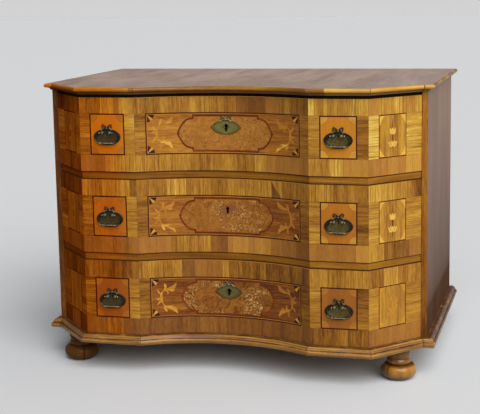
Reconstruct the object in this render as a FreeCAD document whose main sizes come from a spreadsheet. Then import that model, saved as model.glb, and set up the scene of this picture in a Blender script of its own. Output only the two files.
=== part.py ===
import FreeCAD, Part
import math
import os
import Sketcher
from FreeCAD import Vector
from types import SimpleNamespace

# A baroque chest of three drawers. The front has canted wings at the ends, two flat stretches
# and a long hollow between them. Drawings are made from the front face of the side panels
# (y = 0, the front towards -y) and each sub-part is then set down so that the origin lies on
# the floor under the middle of the whole chest.
SIZES = [
    # the case
    ("case_width", "1160", "across the outside of the side panels"),
    ("case_depth", "660", "front edge of the side panels to the back"),
    ("side_thickness", "17", "side panel"),
    ("flat_half", "432", "middle of the front to the corner of a wing"),
    ("hollow_half", "260", "middle of the front to the end of the hollow"),
    ("hollow_sag", "69", "depth of the hollow"),
    ("wing_depth", "148", "how far the flats stand in front of the side panels"),
    ("foot_height", "93", "floor to the underside of the base"),
    ("base_height", "26", "bottom board and base moulding"),
    ("opening_top", "223", "height of the top drawer's opening"),
    ("opening_middle", "225", "height of the middle drawer's opening"),
    ("opening_bottom", "228", "height of the bottom drawer's opening"),
    ("rail_height", "21", "rail between two drawers"),
    ("rail_depth", "60", "rail's back edge behind the side panels' front"),
    ("rail_recess", "4", "rail's face behind the drawer fronts"),
    ("top_rail_height", "8", "thin rail under the top"),
    ("top_rail_recess", "9", "thin rail's face behind the drawer fronts"),
    ("top_height", "20", "top board and its moulding"),
    ("top_overhang", "20", "top moulding beyond the case"),
    ("top_nose_reach", "5.5", "round nose beyond the hollow under it"),
    ("top_nose_foot", "8", "underside of the top to the foot of the nose"),
    ("top_lip", "4", "lower edge of the top moulding beyond the case"),
    ("top_cove_radius", "9", "hollow under the nose"),
    ("moulding_step", "1.5", "small flats that part two curves of a moulding"),
    ("base_overhang", "26", "base moulding beyond the case"),
    ("base_bulge_reach", "3", "bulge of the lower band"),
    ("base_bulge_height", "14", "height of the lower band"),
    ("base_top_reach", "9", "upper edge of the base moulding beyond the case"),
    ("base_ovolo_radius", "11", "round between the lower band and the case"),
    ("back_thickness", "12", "back board"),
    ("board_gap", "1.5", "shrinkage gap between two back boards"),
    ("runner_width", "30", "runner and kicker strip"),
    # the turned feet
    ("foot_inset", "78", "outside of a side panel to a foot's axis"),
    ("foot_front_y", "31", "front feet, in front of the side panels' front"),
    ("foot_back_inset", "62", "back feet, from the back"),
    ("ball_radius", "53", "ball of the foot"),
    ("ball_middle", "30", "floor to the widest part of the ball"),
    ("pad_radius", "27", "flat under the ball"),
    ("neck_radius", "33", "neck above the ball"),
    ("neck_length", "47", "underside of the base to the foot of the neck"),
    ("bead_radius", "36", "broad bead round the foot of the neck"),
    ("bead_height", "17", "broad bead round the foot of the neck"),
    ("collar_radius", "36", "ring under the base"),
    ("collar_height", "20", "ring under the base"),
    ("neck_cove_radius", "16", "hollow between the neck and the ring"),
    ("spigot_radius", "14", "round tenon in the bottom board"),
    ("spigot_length", "15", "round tenon in the bottom board"),
    # the drawers
    ("front_thickness", "24", "drawer front"),
    ("drawer_side_thickness", "10", "drawer side"),
    ("drawer_back_thickness", "10", "drawer back"),
    ("drawer_bottom_thickness", "8", "drawer bottom"),
    ("side_gap", "1", "drawer to side panel"),
    ("front_gap", "1.5", "above and below a drawer front"),
    ("slide_gap", "0.3", "drawer above its runner"),
    ("side_drop", "6", "drawer side below the top of the opening"),
    ("back_drop", "16", "drawer back below the top of the opening"),
    ("stop_length", "22", "stop block between the drawer and the back"),
    ("stop_height", "40", "stop block"),
    ("stop_gap", "0.4", "closed drawer to its stop"),
    # the locks
    ("key_height", "134", "bottom of the opening to the keyhole's round part"),
    ("keyhole_radius", "5", "round part of the keyhole"),
    ("keyhole_slot", "3", "half the width of the keyhole's slot"),
    ("keyhole_drop", "15", "round part's centre to the foot of the slot"),
    ("lock_half", "48", "half the width of the lock"),
    ("lock_depth", "16", "lock case, front to back"),
    ("lock_recess", "8", "wood taken out behind the lock, at the middle of the hollow"),
    ("lock_below", "30", "keyhole to the lower end of the lock"),
    ("lock_wall", "2", "plate of the lock case"),
    ("bolt_half", "13", "half the width of the bolt"),
    ("bolt_thickness", "5", "bolt"),
    ("bolt_above_key", "16", "keyhole to the lower end of the bolt"),
    ("talon_radius", "6", "notch in the bolt that the key turns in"),
    ("bolt_play", "0.3", "bolt in the slot of its case"),
    ("bolt_throw", "7.5", "travel of the bolt"),
    ("mortise_play", "2", "around the thrown bolt in the rail"),
    ("pin_radius", "1.5", "pin that the key turns on"),
    ("pin_length", "8", "pin that the key turns on"),
    # the pulls
    ("pull_height", "105", "bottom of the opening to the middle of a pull"),
    ("plate_half_width", "42", "oval back plate"),
    ("plate_half_height", "24", "oval back plate"),
    ("plate_thickness", "4.5", "rim of the back plate"),
    ("dish_depth", "3", "hollow of the back plate inside its rim"),
    ("rim_width", "4", "rim of the back plate"),
    ("post_half", "12", "middle of a pull to one of its posts"),
    ("post_rise", "13", "posts above the middle of the plate"),
    ("boss_radius", "6", "seat of a post on the back plate"),
    ("post_radius", "3.4", "stem of a post"),
    ("post_head_radius", "4.4", "round head of a post, where the bail turns"),
    ("shank_end", "2", "shank beyond its nut"),
    ("pivot_reach", "12", "drawer front to the axis of the bail"),
    ("shank_radius", "2.5", "shank through the drawer front"),
    ("shank_play", "0.2", "shank in its hole"),
    ("nut_half", "6", "half the width of a square nut"),
    ("nut_thickness", "5", "square nut"),
    ("bail_radius", "2.4", "round bar of the bail"),
    ("bail_corner", "14", "round corner of the bail"),
    ("bail_side", "2", "straight part between an upper and a lower corner of the bail"),
    ("bail_end_radius", "3", "ball at the end of the bail"),
    ("bail_end_gap", "0.5", "ball to the post"),
    ("pivot_radius", "1.3", "pin at the end of the bail"),
    ("pivot_beyond", "3", "end of the pin beyond the middle of the post"),
    ("pivot_play", "0.06", "pin in the post, all round"),
    # the bows and the key plates
    ("bow_loop_radius", "7.5", "loop of the bow, outside"),
    ("bow_hole_radius", "4", "loop of the bow, inside"),
    ("bow_knot_radius", "4.5", "knot of the bow"),
    ("bow_spread", "8.5", "middle of the bow to the middle of a loop"),
    ("bow_rise", "5", "knot to the middle of a loop"),
    ("bow_thickness", "4", "bow, front to back"),
    ("key_plate_half_width", "42", "key plate"),
    ("key_plate_half_height", "21", "key plate"),
    ("key_plate_thickness", "1.8", "key plate"),
    ("key_plate_drop", "4", "middle of the key plate below the keyhole"),
    ("key_plate_gap", "0.2", "bent plate to the hollow behind it"),
    ("key_plate_lobe", "4.5", "round lobe at each end of the oval key plate"),
]


class Size:
    """A length that knows its value and the expression that ties it to the sheet."""

    def __init__(self, value, text):
        self.value = value
        self.text = text

    def __add__(self, other):
        other = as_size(other)
        return Size(self.value + other.value, f"({self.text} + {other.text})")

    def __sub__(self, other):
        other = as_size(other)
        return Size(self.value - other.value, f"({self.text} - {other.text})")

    def __mul__(self, other):
        other = as_size(other)
        return Size(self.value * other.value, f"({self.text} * {other.text})")

    def __truediv__(self, other):
        other = as_size(other)
        return Size(self.value / other.value, f"({self.text} / {other.text})")

    def __radd__(self, other):
        return as_size(other) + self

    def __rsub__(self, other):
        return as_size(other) - self

    def __rmul__(self, other):
        return as_size(other) * self

    def __neg__(self):
        return Size(-self.value, f"(-1 * {self.text})")


def as_size(number):
    """A plain number as a Size; a Size stays as it is."""
    if isinstance(number, Size):
        return number
    return Size(float(number), f"({float(number)})")


def root(area):
    """The square root of a product of two sizes."""
    return Size(math.sqrt(area.value), f"sqrt({area.text})")


doc = FreeCAD.newDocument("chest")
sheet = doc.addObject("Spreadsheet::Sheet", "sizes")
size = SimpleNamespace()
for row, (name, number, meaning) in enumerate(SIZES, start=1):
    sheet.set(f"A{row}", meaning)
    sheet.set(f"B{row}", number)
    sheet.setAlias(f"B{row}", name)
    setattr(size, name, Size(float(number), f"sizes.{name}"))
doc.recompute()

# Lines that many sub-parts share.
inside_half = size.case_width / 2 - size.side_thickness
wing_width = inside_half - size.flat_half
wing_length = root(wing_width * wing_width + size.wing_depth * size.wing_depth)
hollow_square = size.hollow_half * size.hollow_half
hollow_radius = (hollow_square + size.hollow_sag * size.hollow_sag) / (2 * size.hollow_sag)
hollow_floor = size.hollow_sag - size.wing_depth
stile_y = (size.wing_depth + size.base_overhang - size.case_depth) / 2
back_y = size.case_depth - size.back_thickness
drawer_half = inside_half - size.side_gap
drawer_inside_half = drawer_half - size.drawer_side_thickness
drawer_back_y = back_y - size.stop_length - size.stop_gap
floor_bottom = size.foot_height + size.base_height
rail_lower = floor_bottom + size.opening_bottom
floor_middle = rail_lower + size.rail_height
rail_upper = floor_middle + size.opening_middle
floor_top = rail_upper + size.rail_height
under_top_rail = floor_top + size.opening_top
under_top = under_top_rail + size.top_rail_height
recess_y = hollow_floor + size.front_thickness - size.lock_recess
bolt_y = recess_y + size.lock_depth / 2
foot_x = size.case_width / 2 - size.foot_inset
pull_x = (size.flat_half + size.hollow_half) / 2
post_z = size.pull_height + size.post_rise
pivot_y = -size.wing_depth - size.pivot_reach
DRAWERS = [
    ("top", floor_top, size.opening_top),
    ("middle", floor_middle, size.opening_middle),
    ("bottom", floor_bottom, size.opening_bottom),
]
nodes = []


def bind(thing, name, length):
    """Ties one property to its expression."""
    thing.setExpression(name, as_size(length).text)


def sub_part(label, x=0, y=0, z=0):
    """A new body with its own label, set down at x, y, z."""
    body = doc.addObject("PartDesign::Body", label)
    body.Label = label
    bind(body, "Placement.Base.x", x)
    bind(body, "Placement.Base.y", stile_y + y)
    bind(body, "Placement.Base.z", z)
    nodes.append(body)
    return body


def sketch_on(body, role, offset=0):
    """A sketch on one of the body's own planes, moved along the plane's normal.
    The normal of XY_Plane is +z, that of XZ_Plane is -y and that of YZ_Plane is +x."""
    sketch = body.newObject("Sketcher::SketchObject", f"{body.Label}_sketch")
    plane = next(face for face in body.Origin.OriginFeatures if face.Role == role)
    sketch.AttachmentSupport = [(plane, "")]
    sketch.MapMode = "FlatFace"
    bind(sketch, "AttachmentOffset.Base.z", offset)
    return sketch


def constrain(sketch, kind, *where):
    """Adds one driving dimension; the last item is its size."""
    *where, length = where
    length = as_size(length)
    index = sketch.addConstraint(Sketcher.Constraint(kind, *where, length.value))
    sketch.setExpression(f"Constraints[{index}]", length.text)


def arc_between(start, end, radius):
    """The short arc between two points, counter-clockwise when the radius is positive."""
    chord = end - start
    middle = (start + end) * 0.5
    leftward = Vector(-chord.y, chord.x, 0).normalize()
    rise = math.sqrt(max(radius * radius - chord.Length ** 2 / 4, 0))
    centre = middle + leftward * math.copysign(rise, radius)
    first, last = (start, end) if radius > 0 else (end, start)
    angles = [math.atan2(point.y - centre.y, point.x - centre.x) for point in (first, last)]
    return Part.ArcOfCircle(Part.Circle(centre, Vector(0, 0, 1), abs(radius)), *angles)


def draw(sketch, corners, closed=True):
    """Joins corners (x, y) or (x, y, radius) with edges; a radius bends the edge that arrives
    at its corner, counter-clockwise when positive. Every corner and radius is dimensioned."""
    count = len(corners)
    edges = []
    for index in range(count if closed else count - 1):
        here = corners[index]
        there = corners[(index + 1) % count]
        start = Vector(as_size(here[0]).value, as_size(here[1]).value, 0)
        end = Vector(as_size(there[0]).value, as_size(there[1]).value, 0)
        radius = as_size(there[2]) if len(there) > 2 else None
        if radius is None:
            edge = sketch.addGeometry(Part.LineSegment(start, end))
            edges.append((edge, 1, 2))
        else:
            edge = sketch.addGeometry(arc_between(start, end, radius.value))
            edges.append((edge, 1, 2) if radius.value > 0 else (edge, 2, 1))
            constrain(sketch, "Radius", edge, radius if radius.value > 0 else -radius)
        constrain(sketch, "DistanceX", -1, 1, edge, edges[-1][1], here[0])
        constrain(sketch, "DistanceY", -1, 1, edge, edges[-1][1], here[1])
    for (before, _, end), (after, start, _) in zip(edges, edges[1:]):
        sketch.addConstraint(Sketcher.Constraint("Coincident", before, end, after, start))
    if closed:
        (last, _, end), (first, start, _) = edges[-1], edges[0]
        sketch.addConstraint(Sketcher.Constraint("Coincident", last, end, first, start))
    else:
        edge, _, end = edges[-1]
        constrain(sketch, "DistanceX", -1, 1, edge, end, corners[-1][0])
        constrain(sketch, "DistanceY", -1, 1, edge, end, corners[-1][1])


def draw_circle(sketch, x, y, radius):
    """A dimensioned circle."""
    x, y, radius = as_size(x), as_size(y), as_size(radius)
    flat = Part.Circle(Vector(x.value, y.value, 0), Vector(0, 0, 1), radius.value)
    edge = sketch.addGeometry(flat)
    constrain(sketch, "Radius", edge, radius)
    constrain(sketch, "DistanceX", -1, 1, edge, 3, x)
    constrain(sketch, "DistanceY", -1, 1, edge, 3, y)


def box_corners(x_low, x_high, y_low, y_high):
    """The corners of an upright rectangle."""
    return [(x_low, y_low), (x_high, y_low), (x_high, y_high), (x_low, y_high)]


def pad(body, sketch, length):
    """Thickens a sketch along its normal."""
    feature = body.newObject("PartDesign::Pad", f"{body.Label}_pad")
    feature.Profile = sketch
    bind(feature, "Length", length)
    sketch.Visibility = False
    return feature


def cut_through(body, sketch):
    """Cuts everything that lies behind a sketch, against its normal."""
    feature = body.newObject("PartDesign::Pocket", f"{body.Label}_cut")
    feature.Profile = sketch
    feature.Type = "ThroughAll"
    return feature


def cut(body, sketch, length):
    """Cuts to a depth behind a sketch, against its normal."""
    feature = body.newObject("PartDesign::Pocket", f"{body.Label}_cut")
    feature.Profile = sketch
    bind(feature, "Length", length)
    return feature


def turn(body, sketch, axis):
    """Turns a sketch about one of its own axes."""
    feature = body.newObject("PartDesign::Revolution", f"{body.Label}_turning")
    feature.Profile = sketch
    feature.ReferenceAxis = (sketch, [axis])
    feature.Angle = 360
    return feature


def front_line(offset):
    """Corners of the front, right to left, at a distance outside the drawer fronts. Offset
    wings keep their mitres, and the hollow keeps its centre and changes its radius."""
    mitre = (wing_length - wing_width) / size.wing_depth * offset
    flat_y = -size.wing_depth - offset
    hollow_end = root(hollow_square - 2 * size.hollow_sag * offset)
    return [
        (inside_half + mitre, -as_size(offset)),
        (size.flat_half + mitre, flat_y),
        (hollow_end, flat_y),
        (-hollow_end, flat_y, hollow_radius - offset),
        (-size.flat_half - mitre, flat_y),
        (-inside_half - mitre, -as_size(offset)),
    ]


def clipped_front(offset, half):
    """The offset front with its wings cut or lengthened to a half width."""
    front = front_line(offset)
    wing_end, _ = front[0]
    wing_y = (half - wing_end) * size.wing_depth / wing_width - offset
    return [(half, wing_y), *front[1:-1], (-half, wing_y)]


def rightward(corners):
    """The same line drawn the other way."""
    turned = [corner[:2] for corner in reversed(corners)]
    for index, corner in enumerate(corners):
        if len(corner) > 2:
            turned[len(corners) - index] += (-corner[2],)
    return turned


def shelf(label, offset, depth, z, height):
    """A board whose front edge follows the front, up to a straight back edge."""
    body = sub_part(label, z=z)
    sketch = sketch_on(body, "XY_Plane")
    draw(sketch, clipped_front(offset, inside_half) + [(-inside_half, depth), (inside_half, depth)])
    pad(body, sketch, height)
    return body


def section_face(profile):
    """A moulding's profile as a face in the xz plane, x being the distance out."""
    edges = []
    for here, there in zip(profile, profile[1:] + profile[:1]):
        start = Vector(as_size(here[0]).value, as_size(here[1]).value, 0)
        end = Vector(as_size(there[0]).value, as_size(there[1]).value, 0)
        if len(there) > 2:
            edges.append(arc_between(start, end, there[2].value).toShape())
        else:
            edges.append(Part.LineSegment(start, end).toShape())
    face = Part.Face(Part.Wire(edges))
    face.rotate(Vector(0, 0, 0), Vector(1, 0, 0), 90)
    return face


def case_corners(offset):
    """The right side, the front and the left side of the case, with the outer faces and the
    front edges of the side panels, at a distance outside them."""
    side = size.case_width / 2 + offset
    return [
        (side, size.case_depth),
        (side, -as_size(offset)),
        *front_line(offset),
        (-side, -as_size(offset)),
        (-side, size.case_depth),
    ]


def plan_points(corners):
    """Corners as points on the floor."""
    return [Vector(as_size(corner[0]).value, as_size(corner[1]).value, 0) for corner in corners]


def set_down(face, corner, outward):
    """A copy of a section face at a corner, its x axis pointing outward."""
    section = face.copy()
    heading = math.degrees(math.atan2(outward.y, outward.x))
    turned = FreeCAD.Placement(corner, FreeCAD.Rotation(Vector(0, 0, 1), heading))
    section.Placement = turned * section.Placement
    return section


def moulding(label, z, profile, reach, height):
    """Strips of one profile round the sides and the front, one solid for each run, cut at the
    mitres: straight runs are extruded, and the run in the hollow is turned about its centre."""
    section = section_face(profile)
    line = case_corners(0)
    inner, outer = plan_points(line), plan_points(case_corners(reach))
    centre = Vector(0, (hollow_floor - hollow_radius).value, 0)
    upward = Vector(0, 0, 1)
    runs = []
    for index, arrival in enumerate(line[1:]):
        start, end = inner[index], inner[index + 1]
        start_out, end_out = outer[index], outer[index + 1]
        if len(arrival) > 2:
            past_end = math.degrees((2 * reach / hollow_radius).value)
            sweep = math.degrees((start - centre).getAngle(end - centre))
            run = set_down(section, start, centre - start)
            run.rotate(centre, upward, -past_end)
            run = run.revolve(centre, upward, sweep + 2 * past_end)
            deepening = (2 * size.hollow_sag / reach).value
            start = start + (start - start_out) * deepening
            end = end + (end - end_out) * deepening
        else:
            along = (end - start).normalize()
            past_end = along * (2 * reach.value)
            run = set_down(section, start - past_end, Vector(-along.y, along.x, 0))
            run = run.extrude(end - start + past_end * 2)
        wedge = Part.Face(Part.makePolygon([start, start_out, end_out, end, start]))
        runs.append(run.common(wedge.extrude(Vector(0, 0, height.value))))
    strip = doc.addObject("Part::Feature", label)
    strip.Label = label
    strip.Shape = Part.makeCompound(runs)
    strip.Placement = FreeCAD.Placement(Vector(0, stile_y.value, z.value), FreeCAD.Rotation())
    nodes.append(strip)


def board(label, x_low, x_high, y_low, y_high, z, height):
    """A plain rectangular board."""
    body = sub_part(label, z=z)
    sketch = sketch_on(body, "XY_Plane")
    draw(sketch, box_corners(x_low, x_high, y_low, y_high))
    pad(body, sketch, height)
    return body


def make_case():
    """The case: bottom, sides, rails, runners, back and top."""
    half = size.case_width / 2
    bottom = shelf("bottom_board", 0, back_y, size.foot_height, size.base_height)
    holes = sketch_on(bottom, "XY_Plane", size.spigot_length)
    for x in (-foot_x, foot_x):
        for y in (-size.foot_front_y, size.case_depth - size.foot_back_inset):
            draw_circle(holes, x, y, size.spigot_radius)
    cut(bottom, holes, size.spigot_length)

    side_height = under_top - size.foot_height
    board("side_panel_left", -half, -inside_half, 0, size.case_depth, size.foot_height, side_height)
    board("side_panel_right", inside_half, half, 0, size.case_depth, size.foot_height, side_height)

    back = sub_part("back_boards", z=size.foot_height)
    boards = sketch_on(back, "XY_Plane")
    width = (2 * inside_half - 2 * size.board_gap) / 3
    for index in range(3):
        x_low = index * (width + size.board_gap) - inside_half
        draw(boards, box_corners(x_low, x_low + width, back_y, size.case_depth))
    pad(back, boards, side_height)

    for label, z in (("drawer_rail_lower", rail_lower), ("drawer_rail_upper", rail_upper)):
        rail = shelf(label, -size.rail_recess, size.rail_depth, z, size.rail_height)
        cut_mortise(rail)
    top_rail = shelf(
        "top_rail", -size.top_rail_recess, size.rail_depth, under_top_rail, size.top_rail_height
    )
    cut_mortise(top_rail)

    for side, sign in (("left", -1), ("right", 1)):
        runners = sub_part(f"runners_{side}")
        for z in (rail_lower, rail_upper):
            strip = sketch_on(runners, "XY_Plane", z)
            edges = sorted((sign * inside_half, sign * (inside_half - size.runner_width)),
                           key=lambda edge: edge.value)
            draw(strip, box_corners(*edges, size.rail_depth, back_y))
            pad(runners, strip, size.rail_height)
    kickers = sub_part("kickers", z=under_top_rail)
    strips = sketch_on(kickers, "XY_Plane")
    inner = inside_half - size.runner_width
    for low, high in ((-inside_half, -inner), (inner, inside_half)):
        draw(strips, box_corners(low, high, size.rail_depth, back_y))
    pad(kickers, strips, size.top_rail_height)

    stops = sub_part("drawer_stops")
    for _, floor, _ in DRAWERS:
        blocks = sketch_on(stops, "XY_Plane", floor)
        for low, high in ((-inside_half, -inner), (inner, inside_half)):
            draw(blocks, box_corners(low, high, back_y - size.stop_length, back_y))
        pad(stops, blocks, size.stop_height)

    top = sub_part("top_board", z=under_top)
    sketch = sketch_on(top, "XY_Plane")
    draw(sketch, case_corners(0))
    pad(top, sketch, size.top_height)


def cut_mortise(rail):
    """The slot in a rail that the bolt of the drawer below it enters."""
    slot = sketch_on(rail, "XY_Plane", size.bolt_throw + size.mortise_play)
    reach = size.bolt_half + size.mortise_play
    spread = size.bolt_thickness / 2 + size.mortise_play
    draw(slot, box_corners(-reach, reach, bolt_y - spread, bolt_y + spread))
    cut_through(rail, slot)


def make_mouldings():
    """The moulded edges of the top and the base, with their corners mitred."""
    nose = size.top_overhang - size.top_nose_reach
    half_nose = (size.top_height - size.top_nose_foot) / 2
    reach = size.top_nose_reach
    nose_radius = (half_nose * half_nose + reach * reach) / (2 * reach)
    moulding("top_moulding", under_top, [
        (0, 0),
        (size.top_lip, 0),
        (size.top_lip, size.moulding_step),
        (nose - size.moulding_step, size.top_nose_foot, -size.top_cove_radius),
        (nose, size.top_nose_foot),
        (nose, size.top_height, nose_radius),
        (0, size.top_height),
    ], size.top_overhang, size.top_height)
    band = size.base_overhang - size.base_bulge_reach
    half_band = size.base_bulge_height / 2
    reach = size.base_bulge_reach
    band_radius = (half_band * half_band + reach * reach) / (2 * reach)
    ledge = size.base_bulge_height + size.moulding_step
    moulding("base_moulding", size.foot_height, [
        (0, 0),
        (band, 0),
        (band, size.base_bulge_height, band_radius),
        (band - 2 * size.moulding_step, size.base_bulge_height),
        (band - 2 * size.moulding_step, ledge),
        (size.base_top_reach, size.base_height, size.base_ovolo_radius),
        (0, size.base_height),
    ], size.base_overhang, size.base_height)


def make_feet():
    """Four turned feet, each with a round tenon that is glued into the bottom board."""
    below = size.ball_radius - size.pad_radius
    above = size.ball_radius - size.neck_radius
    neck_foot = size.foot_height - size.neck_length
    rise = neck_foot - size.ball_middle
    lower_radius = (below * below + size.ball_middle * size.ball_middle) / (2 * below)
    upper_radius = (above * above + rise * rise) / (2 * above)
    bead_reach = size.bead_radius - size.neck_radius
    half_bead = size.bead_height / 2
    bead_round = (half_bead * half_bead + bead_reach * bead_reach) / (2 * bead_reach)
    profile = [
        (0, 0),
        (size.pad_radius, 0),
        (size.ball_radius, size.ball_middle, lower_radius),
        (size.neck_radius, neck_foot, upper_radius),
        (size.neck_radius, neck_foot + size.bead_height, bead_round),
        (size.collar_radius, size.foot_height - size.collar_height, -size.neck_cove_radius),
        (size.collar_radius, size.foot_height),
        (size.spigot_radius, size.foot_height),
        (size.spigot_radius, size.foot_height + size.spigot_length),
        (0, size.foot_height + size.spigot_length),
    ]
    for row, y in (("front", -size.foot_front_y), ("back", size.case_depth - size.foot_back_inset)):
        for side, x in (("left", -foot_x), ("right", foot_x)):
            foot = sub_part(f"foot_{row}_{side}", x, y)
            sketch = sketch_on(foot, "XZ_Plane")
            draw(sketch, profile)
            turn(foot, sketch, "V_Axis")


def make_drawer_box(name, floor, opening):
    """The shaped front, two sides, back and bottom of one drawer."""
    front = sub_part(f"{name}_drawer_front", z=floor)
    sketch = sketch_on(front, "XY_Plane", size.front_gap)
    inner = rightward(front_line(-size.front_thickness))
    ends = (-drawer_half, size.front_thickness), (drawer_half, size.front_thickness)
    draw(sketch, clipped_front(0, drawer_half) + [ends[0], *inner, ends[1]])
    pad(front, sketch, opening - 2 * size.front_gap)
    recess = sketch_on(front, "XZ_Plane", -recess_y)
    draw(recess, box_corners(
        -size.lock_half, size.lock_half, size.key_height - size.lock_below, opening
    ))
    cut_through(front, recess)
    piercings = sketch_on(front, "XZ_Plane", size.wing_depth)
    draw_keyhole(piercings)
    for x in post_places():
        draw_circle(piercings, x, post_z, size.shank_radius + size.shank_play)
    cut_through(front, piercings)

    bottom_z = floor + size.slide_gap
    side_height = opening - size.side_drop - size.slide_gap
    for side, low, high in (
        ("left", -drawer_half, -drawer_inside_half),
        ("right", drawer_inside_half, drawer_half),
    ):
        board(f"{name}_drawer_side_{side}", low, high, size.front_thickness, drawer_back_y,
              bottom_z, side_height)
    back_z = bottom_z + size.drawer_bottom_thickness
    board(f"{name}_drawer_back", -drawer_inside_half, drawer_inside_half,
          drawer_back_y - size.drawer_back_thickness, drawer_back_y,
          back_z, floor + opening - size.back_drop - back_z)
    bottom = sub_part(f"{name}_drawer_bottom", z=bottom_z)
    sketch = sketch_on(bottom, "XY_Plane")
    draw(sketch, clipped_front(-size.front_thickness, drawer_inside_half) + [
        (-drawer_inside_half, drawer_back_y), (drawer_inside_half, drawer_back_y)
    ])
    pad(bottom, sketch, size.drawer_bottom_thickness)


def post_places():
    """Where the four posts of a drawer stand, left to right."""
    return [
        pull + post
        for pull in (-pull_x, pull_x)
        for post in (-size.post_half, size.post_half)
    ]


def draw_keyhole(sketch):
    """A round hole with a slot below it."""
    slot = size.keyhole_slot
    radius = size.keyhole_radius
    shoulder = size.key_height - root(radius * radius - slot * slot)
    foot = size.key_height - size.keyhole_drop
    crown = size.key_height + radius
    draw(sketch, [
        (-slot, foot),
        (slot, foot),
        (slot, shoulder),
        (0, crown, radius),
        (-slot, shoulder, radius),
    ])


def make_lock(name, floor, opening):
    """An iron lock let into the back of a drawer front, and the bolt that rises from it."""
    low = size.key_height - size.lock_below
    high = opening - size.front_gap
    half = size.lock_half
    wall = size.lock_wall
    case = sub_part(f"{name}_lock_case", z=floor)
    block = sketch_on(case, "XY_Plane", low)
    draw(block, box_corners(-half, half, recess_y, recess_y + size.lock_depth))
    pad(case, block, high - low)
    hollow = sketch_on(case, "XZ_Plane", -recess_y)
    draw(hollow, box_corners(wall - half, half - wall, low + wall, high - wall))
    cut(case, hollow, size.lock_depth - wall)
    slot = sketch_on(case, "XY_Plane", high)
    reach = size.bolt_half + size.bolt_play
    spread = size.bolt_thickness / 2 + size.bolt_play
    draw(slot, box_corners(-reach, reach, bolt_y - spread, bolt_y + spread))
    cut(case, slot, 2 * wall)
    pin = sketch_on(case, "XZ_Plane", wall - recess_y - size.lock_depth)
    draw_circle(pin, 0, size.key_height, size.pin_radius)
    pad(case, pin, size.pin_length)

    bolt = sub_part(f"{name}_lock_bolt", z=floor)
    foot = size.key_height + size.bolt_above_key
    bar = sketch_on(bolt, "XZ_Plane", size.bolt_thickness / 2 - bolt_y)
    draw(bar, [
        (-size.bolt_half, foot),
        (-size.talon_radius, foot),
        (0, foot + size.talon_radius, -size.talon_radius),
        (size.talon_radius, foot, -size.talon_radius),
        (size.bolt_half, foot),
        (size.bolt_half, high),
        (-size.bolt_half, high),
    ])
    pad(bolt, bar, size.bolt_thickness).Reversed = True


def add_bow(body, face_offset, z):
    """A cast bow of two loops and a knot, standing on a plate's upper edge."""
    loops = sketch_on(body, "XZ_Plane", face_offset)
    for x in (-size.bow_spread, size.bow_spread):
        draw_circle(loops, x, z + size.bow_rise, size.bow_loop_radius)
        draw_circle(loops, x, z + size.bow_rise, size.bow_hole_radius)
    pad(body, loops, size.bow_thickness)
    knot = sketch_on(body, "XZ_Plane", face_offset)
    draw_circle(knot, 0, z, size.bow_knot_radius)
    pad(body, knot, size.bow_thickness)


def draw_oval(sketch, x, z, half_width, half_height):
    """A dimensioned oval, wider than it is high."""
    x, z = as_size(x), as_size(z)
    half_width, half_height = as_size(half_width), as_size(half_height)
    oval = Part.Ellipse(Vector(x.value, z.value, 0), half_width.value, half_height.value)
    edge = sketch.addGeometry(oval)
    sketch.exposeInternalGeometry(edge)
    major, minor = edge + 1, edge + 2
    constrain(sketch, "DistanceX", -1, 1, edge, 3, x)
    constrain(sketch, "DistanceY", -1, 1, edge, 3, z)
    sketch.addConstraint(Sketcher.Constraint("Horizontal", major))
    constrain(sketch, "Distance", major, 2 * half_width)
    constrain(sketch, "Distance", minor, 2 * half_height)


def make_pulls(name, floor):
    """Two bail pulls: a cast oval back plate with a bow, two posts with nuts, and a bail."""
    plate_y = size.wing_depth
    for side, x in (("left", -pull_x), ("right", pull_x)):
        plate = sub_part(f"{name}_pull_plate_{side}", x, z=floor)
        face = sketch_on(plate, "XZ_Plane", plate_y)
        draw_oval(face, 0, size.pull_height, size.plate_half_width, size.plate_half_height)
        pad(plate, face, size.plate_thickness)
        dish = sketch_on(plate, "XZ_Plane", plate_y + size.plate_thickness)
        draw_oval(dish, 0, size.pull_height, size.plate_half_width - size.rim_width,
                  size.plate_half_height - size.rim_width)
        cut(plate, dish, size.dish_depth)
        bosses = sketch_on(plate, "XZ_Plane", plate_y)
        holes = sketch_on(plate, "XZ_Plane", plate_y + size.plate_thickness)
        for post in (-size.post_half, size.post_half):
            draw_circle(bosses, post, post_z, size.boss_radius)
            draw_circle(holes, post, post_z, size.shank_radius + size.shank_play)
        pad(plate, bosses, size.plate_thickness)
        cut_through(plate, holes)
        add_bow(plate, plate_y, size.pull_height + size.plate_half_height + size.bow_knot_radius / 2)
        make_bail(f"{name}_bail_{side}", x, floor + post_z)

    posts = sub_part(f"{name}_pull_posts", z=floor)
    head, stem, shank = size.post_head_radius, size.post_radius, size.shank_radius
    shank_y = size.front_thickness + size.nut_thickness + size.shank_end - size.wing_depth
    seat_y = -size.wing_depth - size.plate_thickness
    neck_y = pivot_y + root(head * head - stem * stem)
    for x in post_places():
        profile = sketch_on(posts, "XY_Plane", post_z)
        draw(profile, [
            (x, shank_y),
            (x + shank, shank_y),
            (x + shank, seat_y),
            (x + stem, seat_y),
            (x + stem, neck_y),
            (x, pivot_y - head, -head),
        ])
        turn(posts, profile, "Edge6")
    pivots = sketch_on(posts, "YZ_Plane", inside_half)
    draw_circle(pivots, pivot_y, post_z, size.pivot_radius + size.pivot_play)
    cut_through(posts, pivots)

    nuts = sub_part(f"{name}_pull_nuts", z=floor)
    squares = sketch_on(nuts, "XZ_Plane", size.wing_depth - size.front_thickness - size.nut_thickness)
    half = size.nut_half
    for x in post_places():
        draw(squares, box_corners(x - half, x + half, post_z - half, post_z + half))
        draw_circle(squares, x, post_z, size.shank_radius + size.shank_play)
    pad(nuts, squares, size.nut_thickness)


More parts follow.
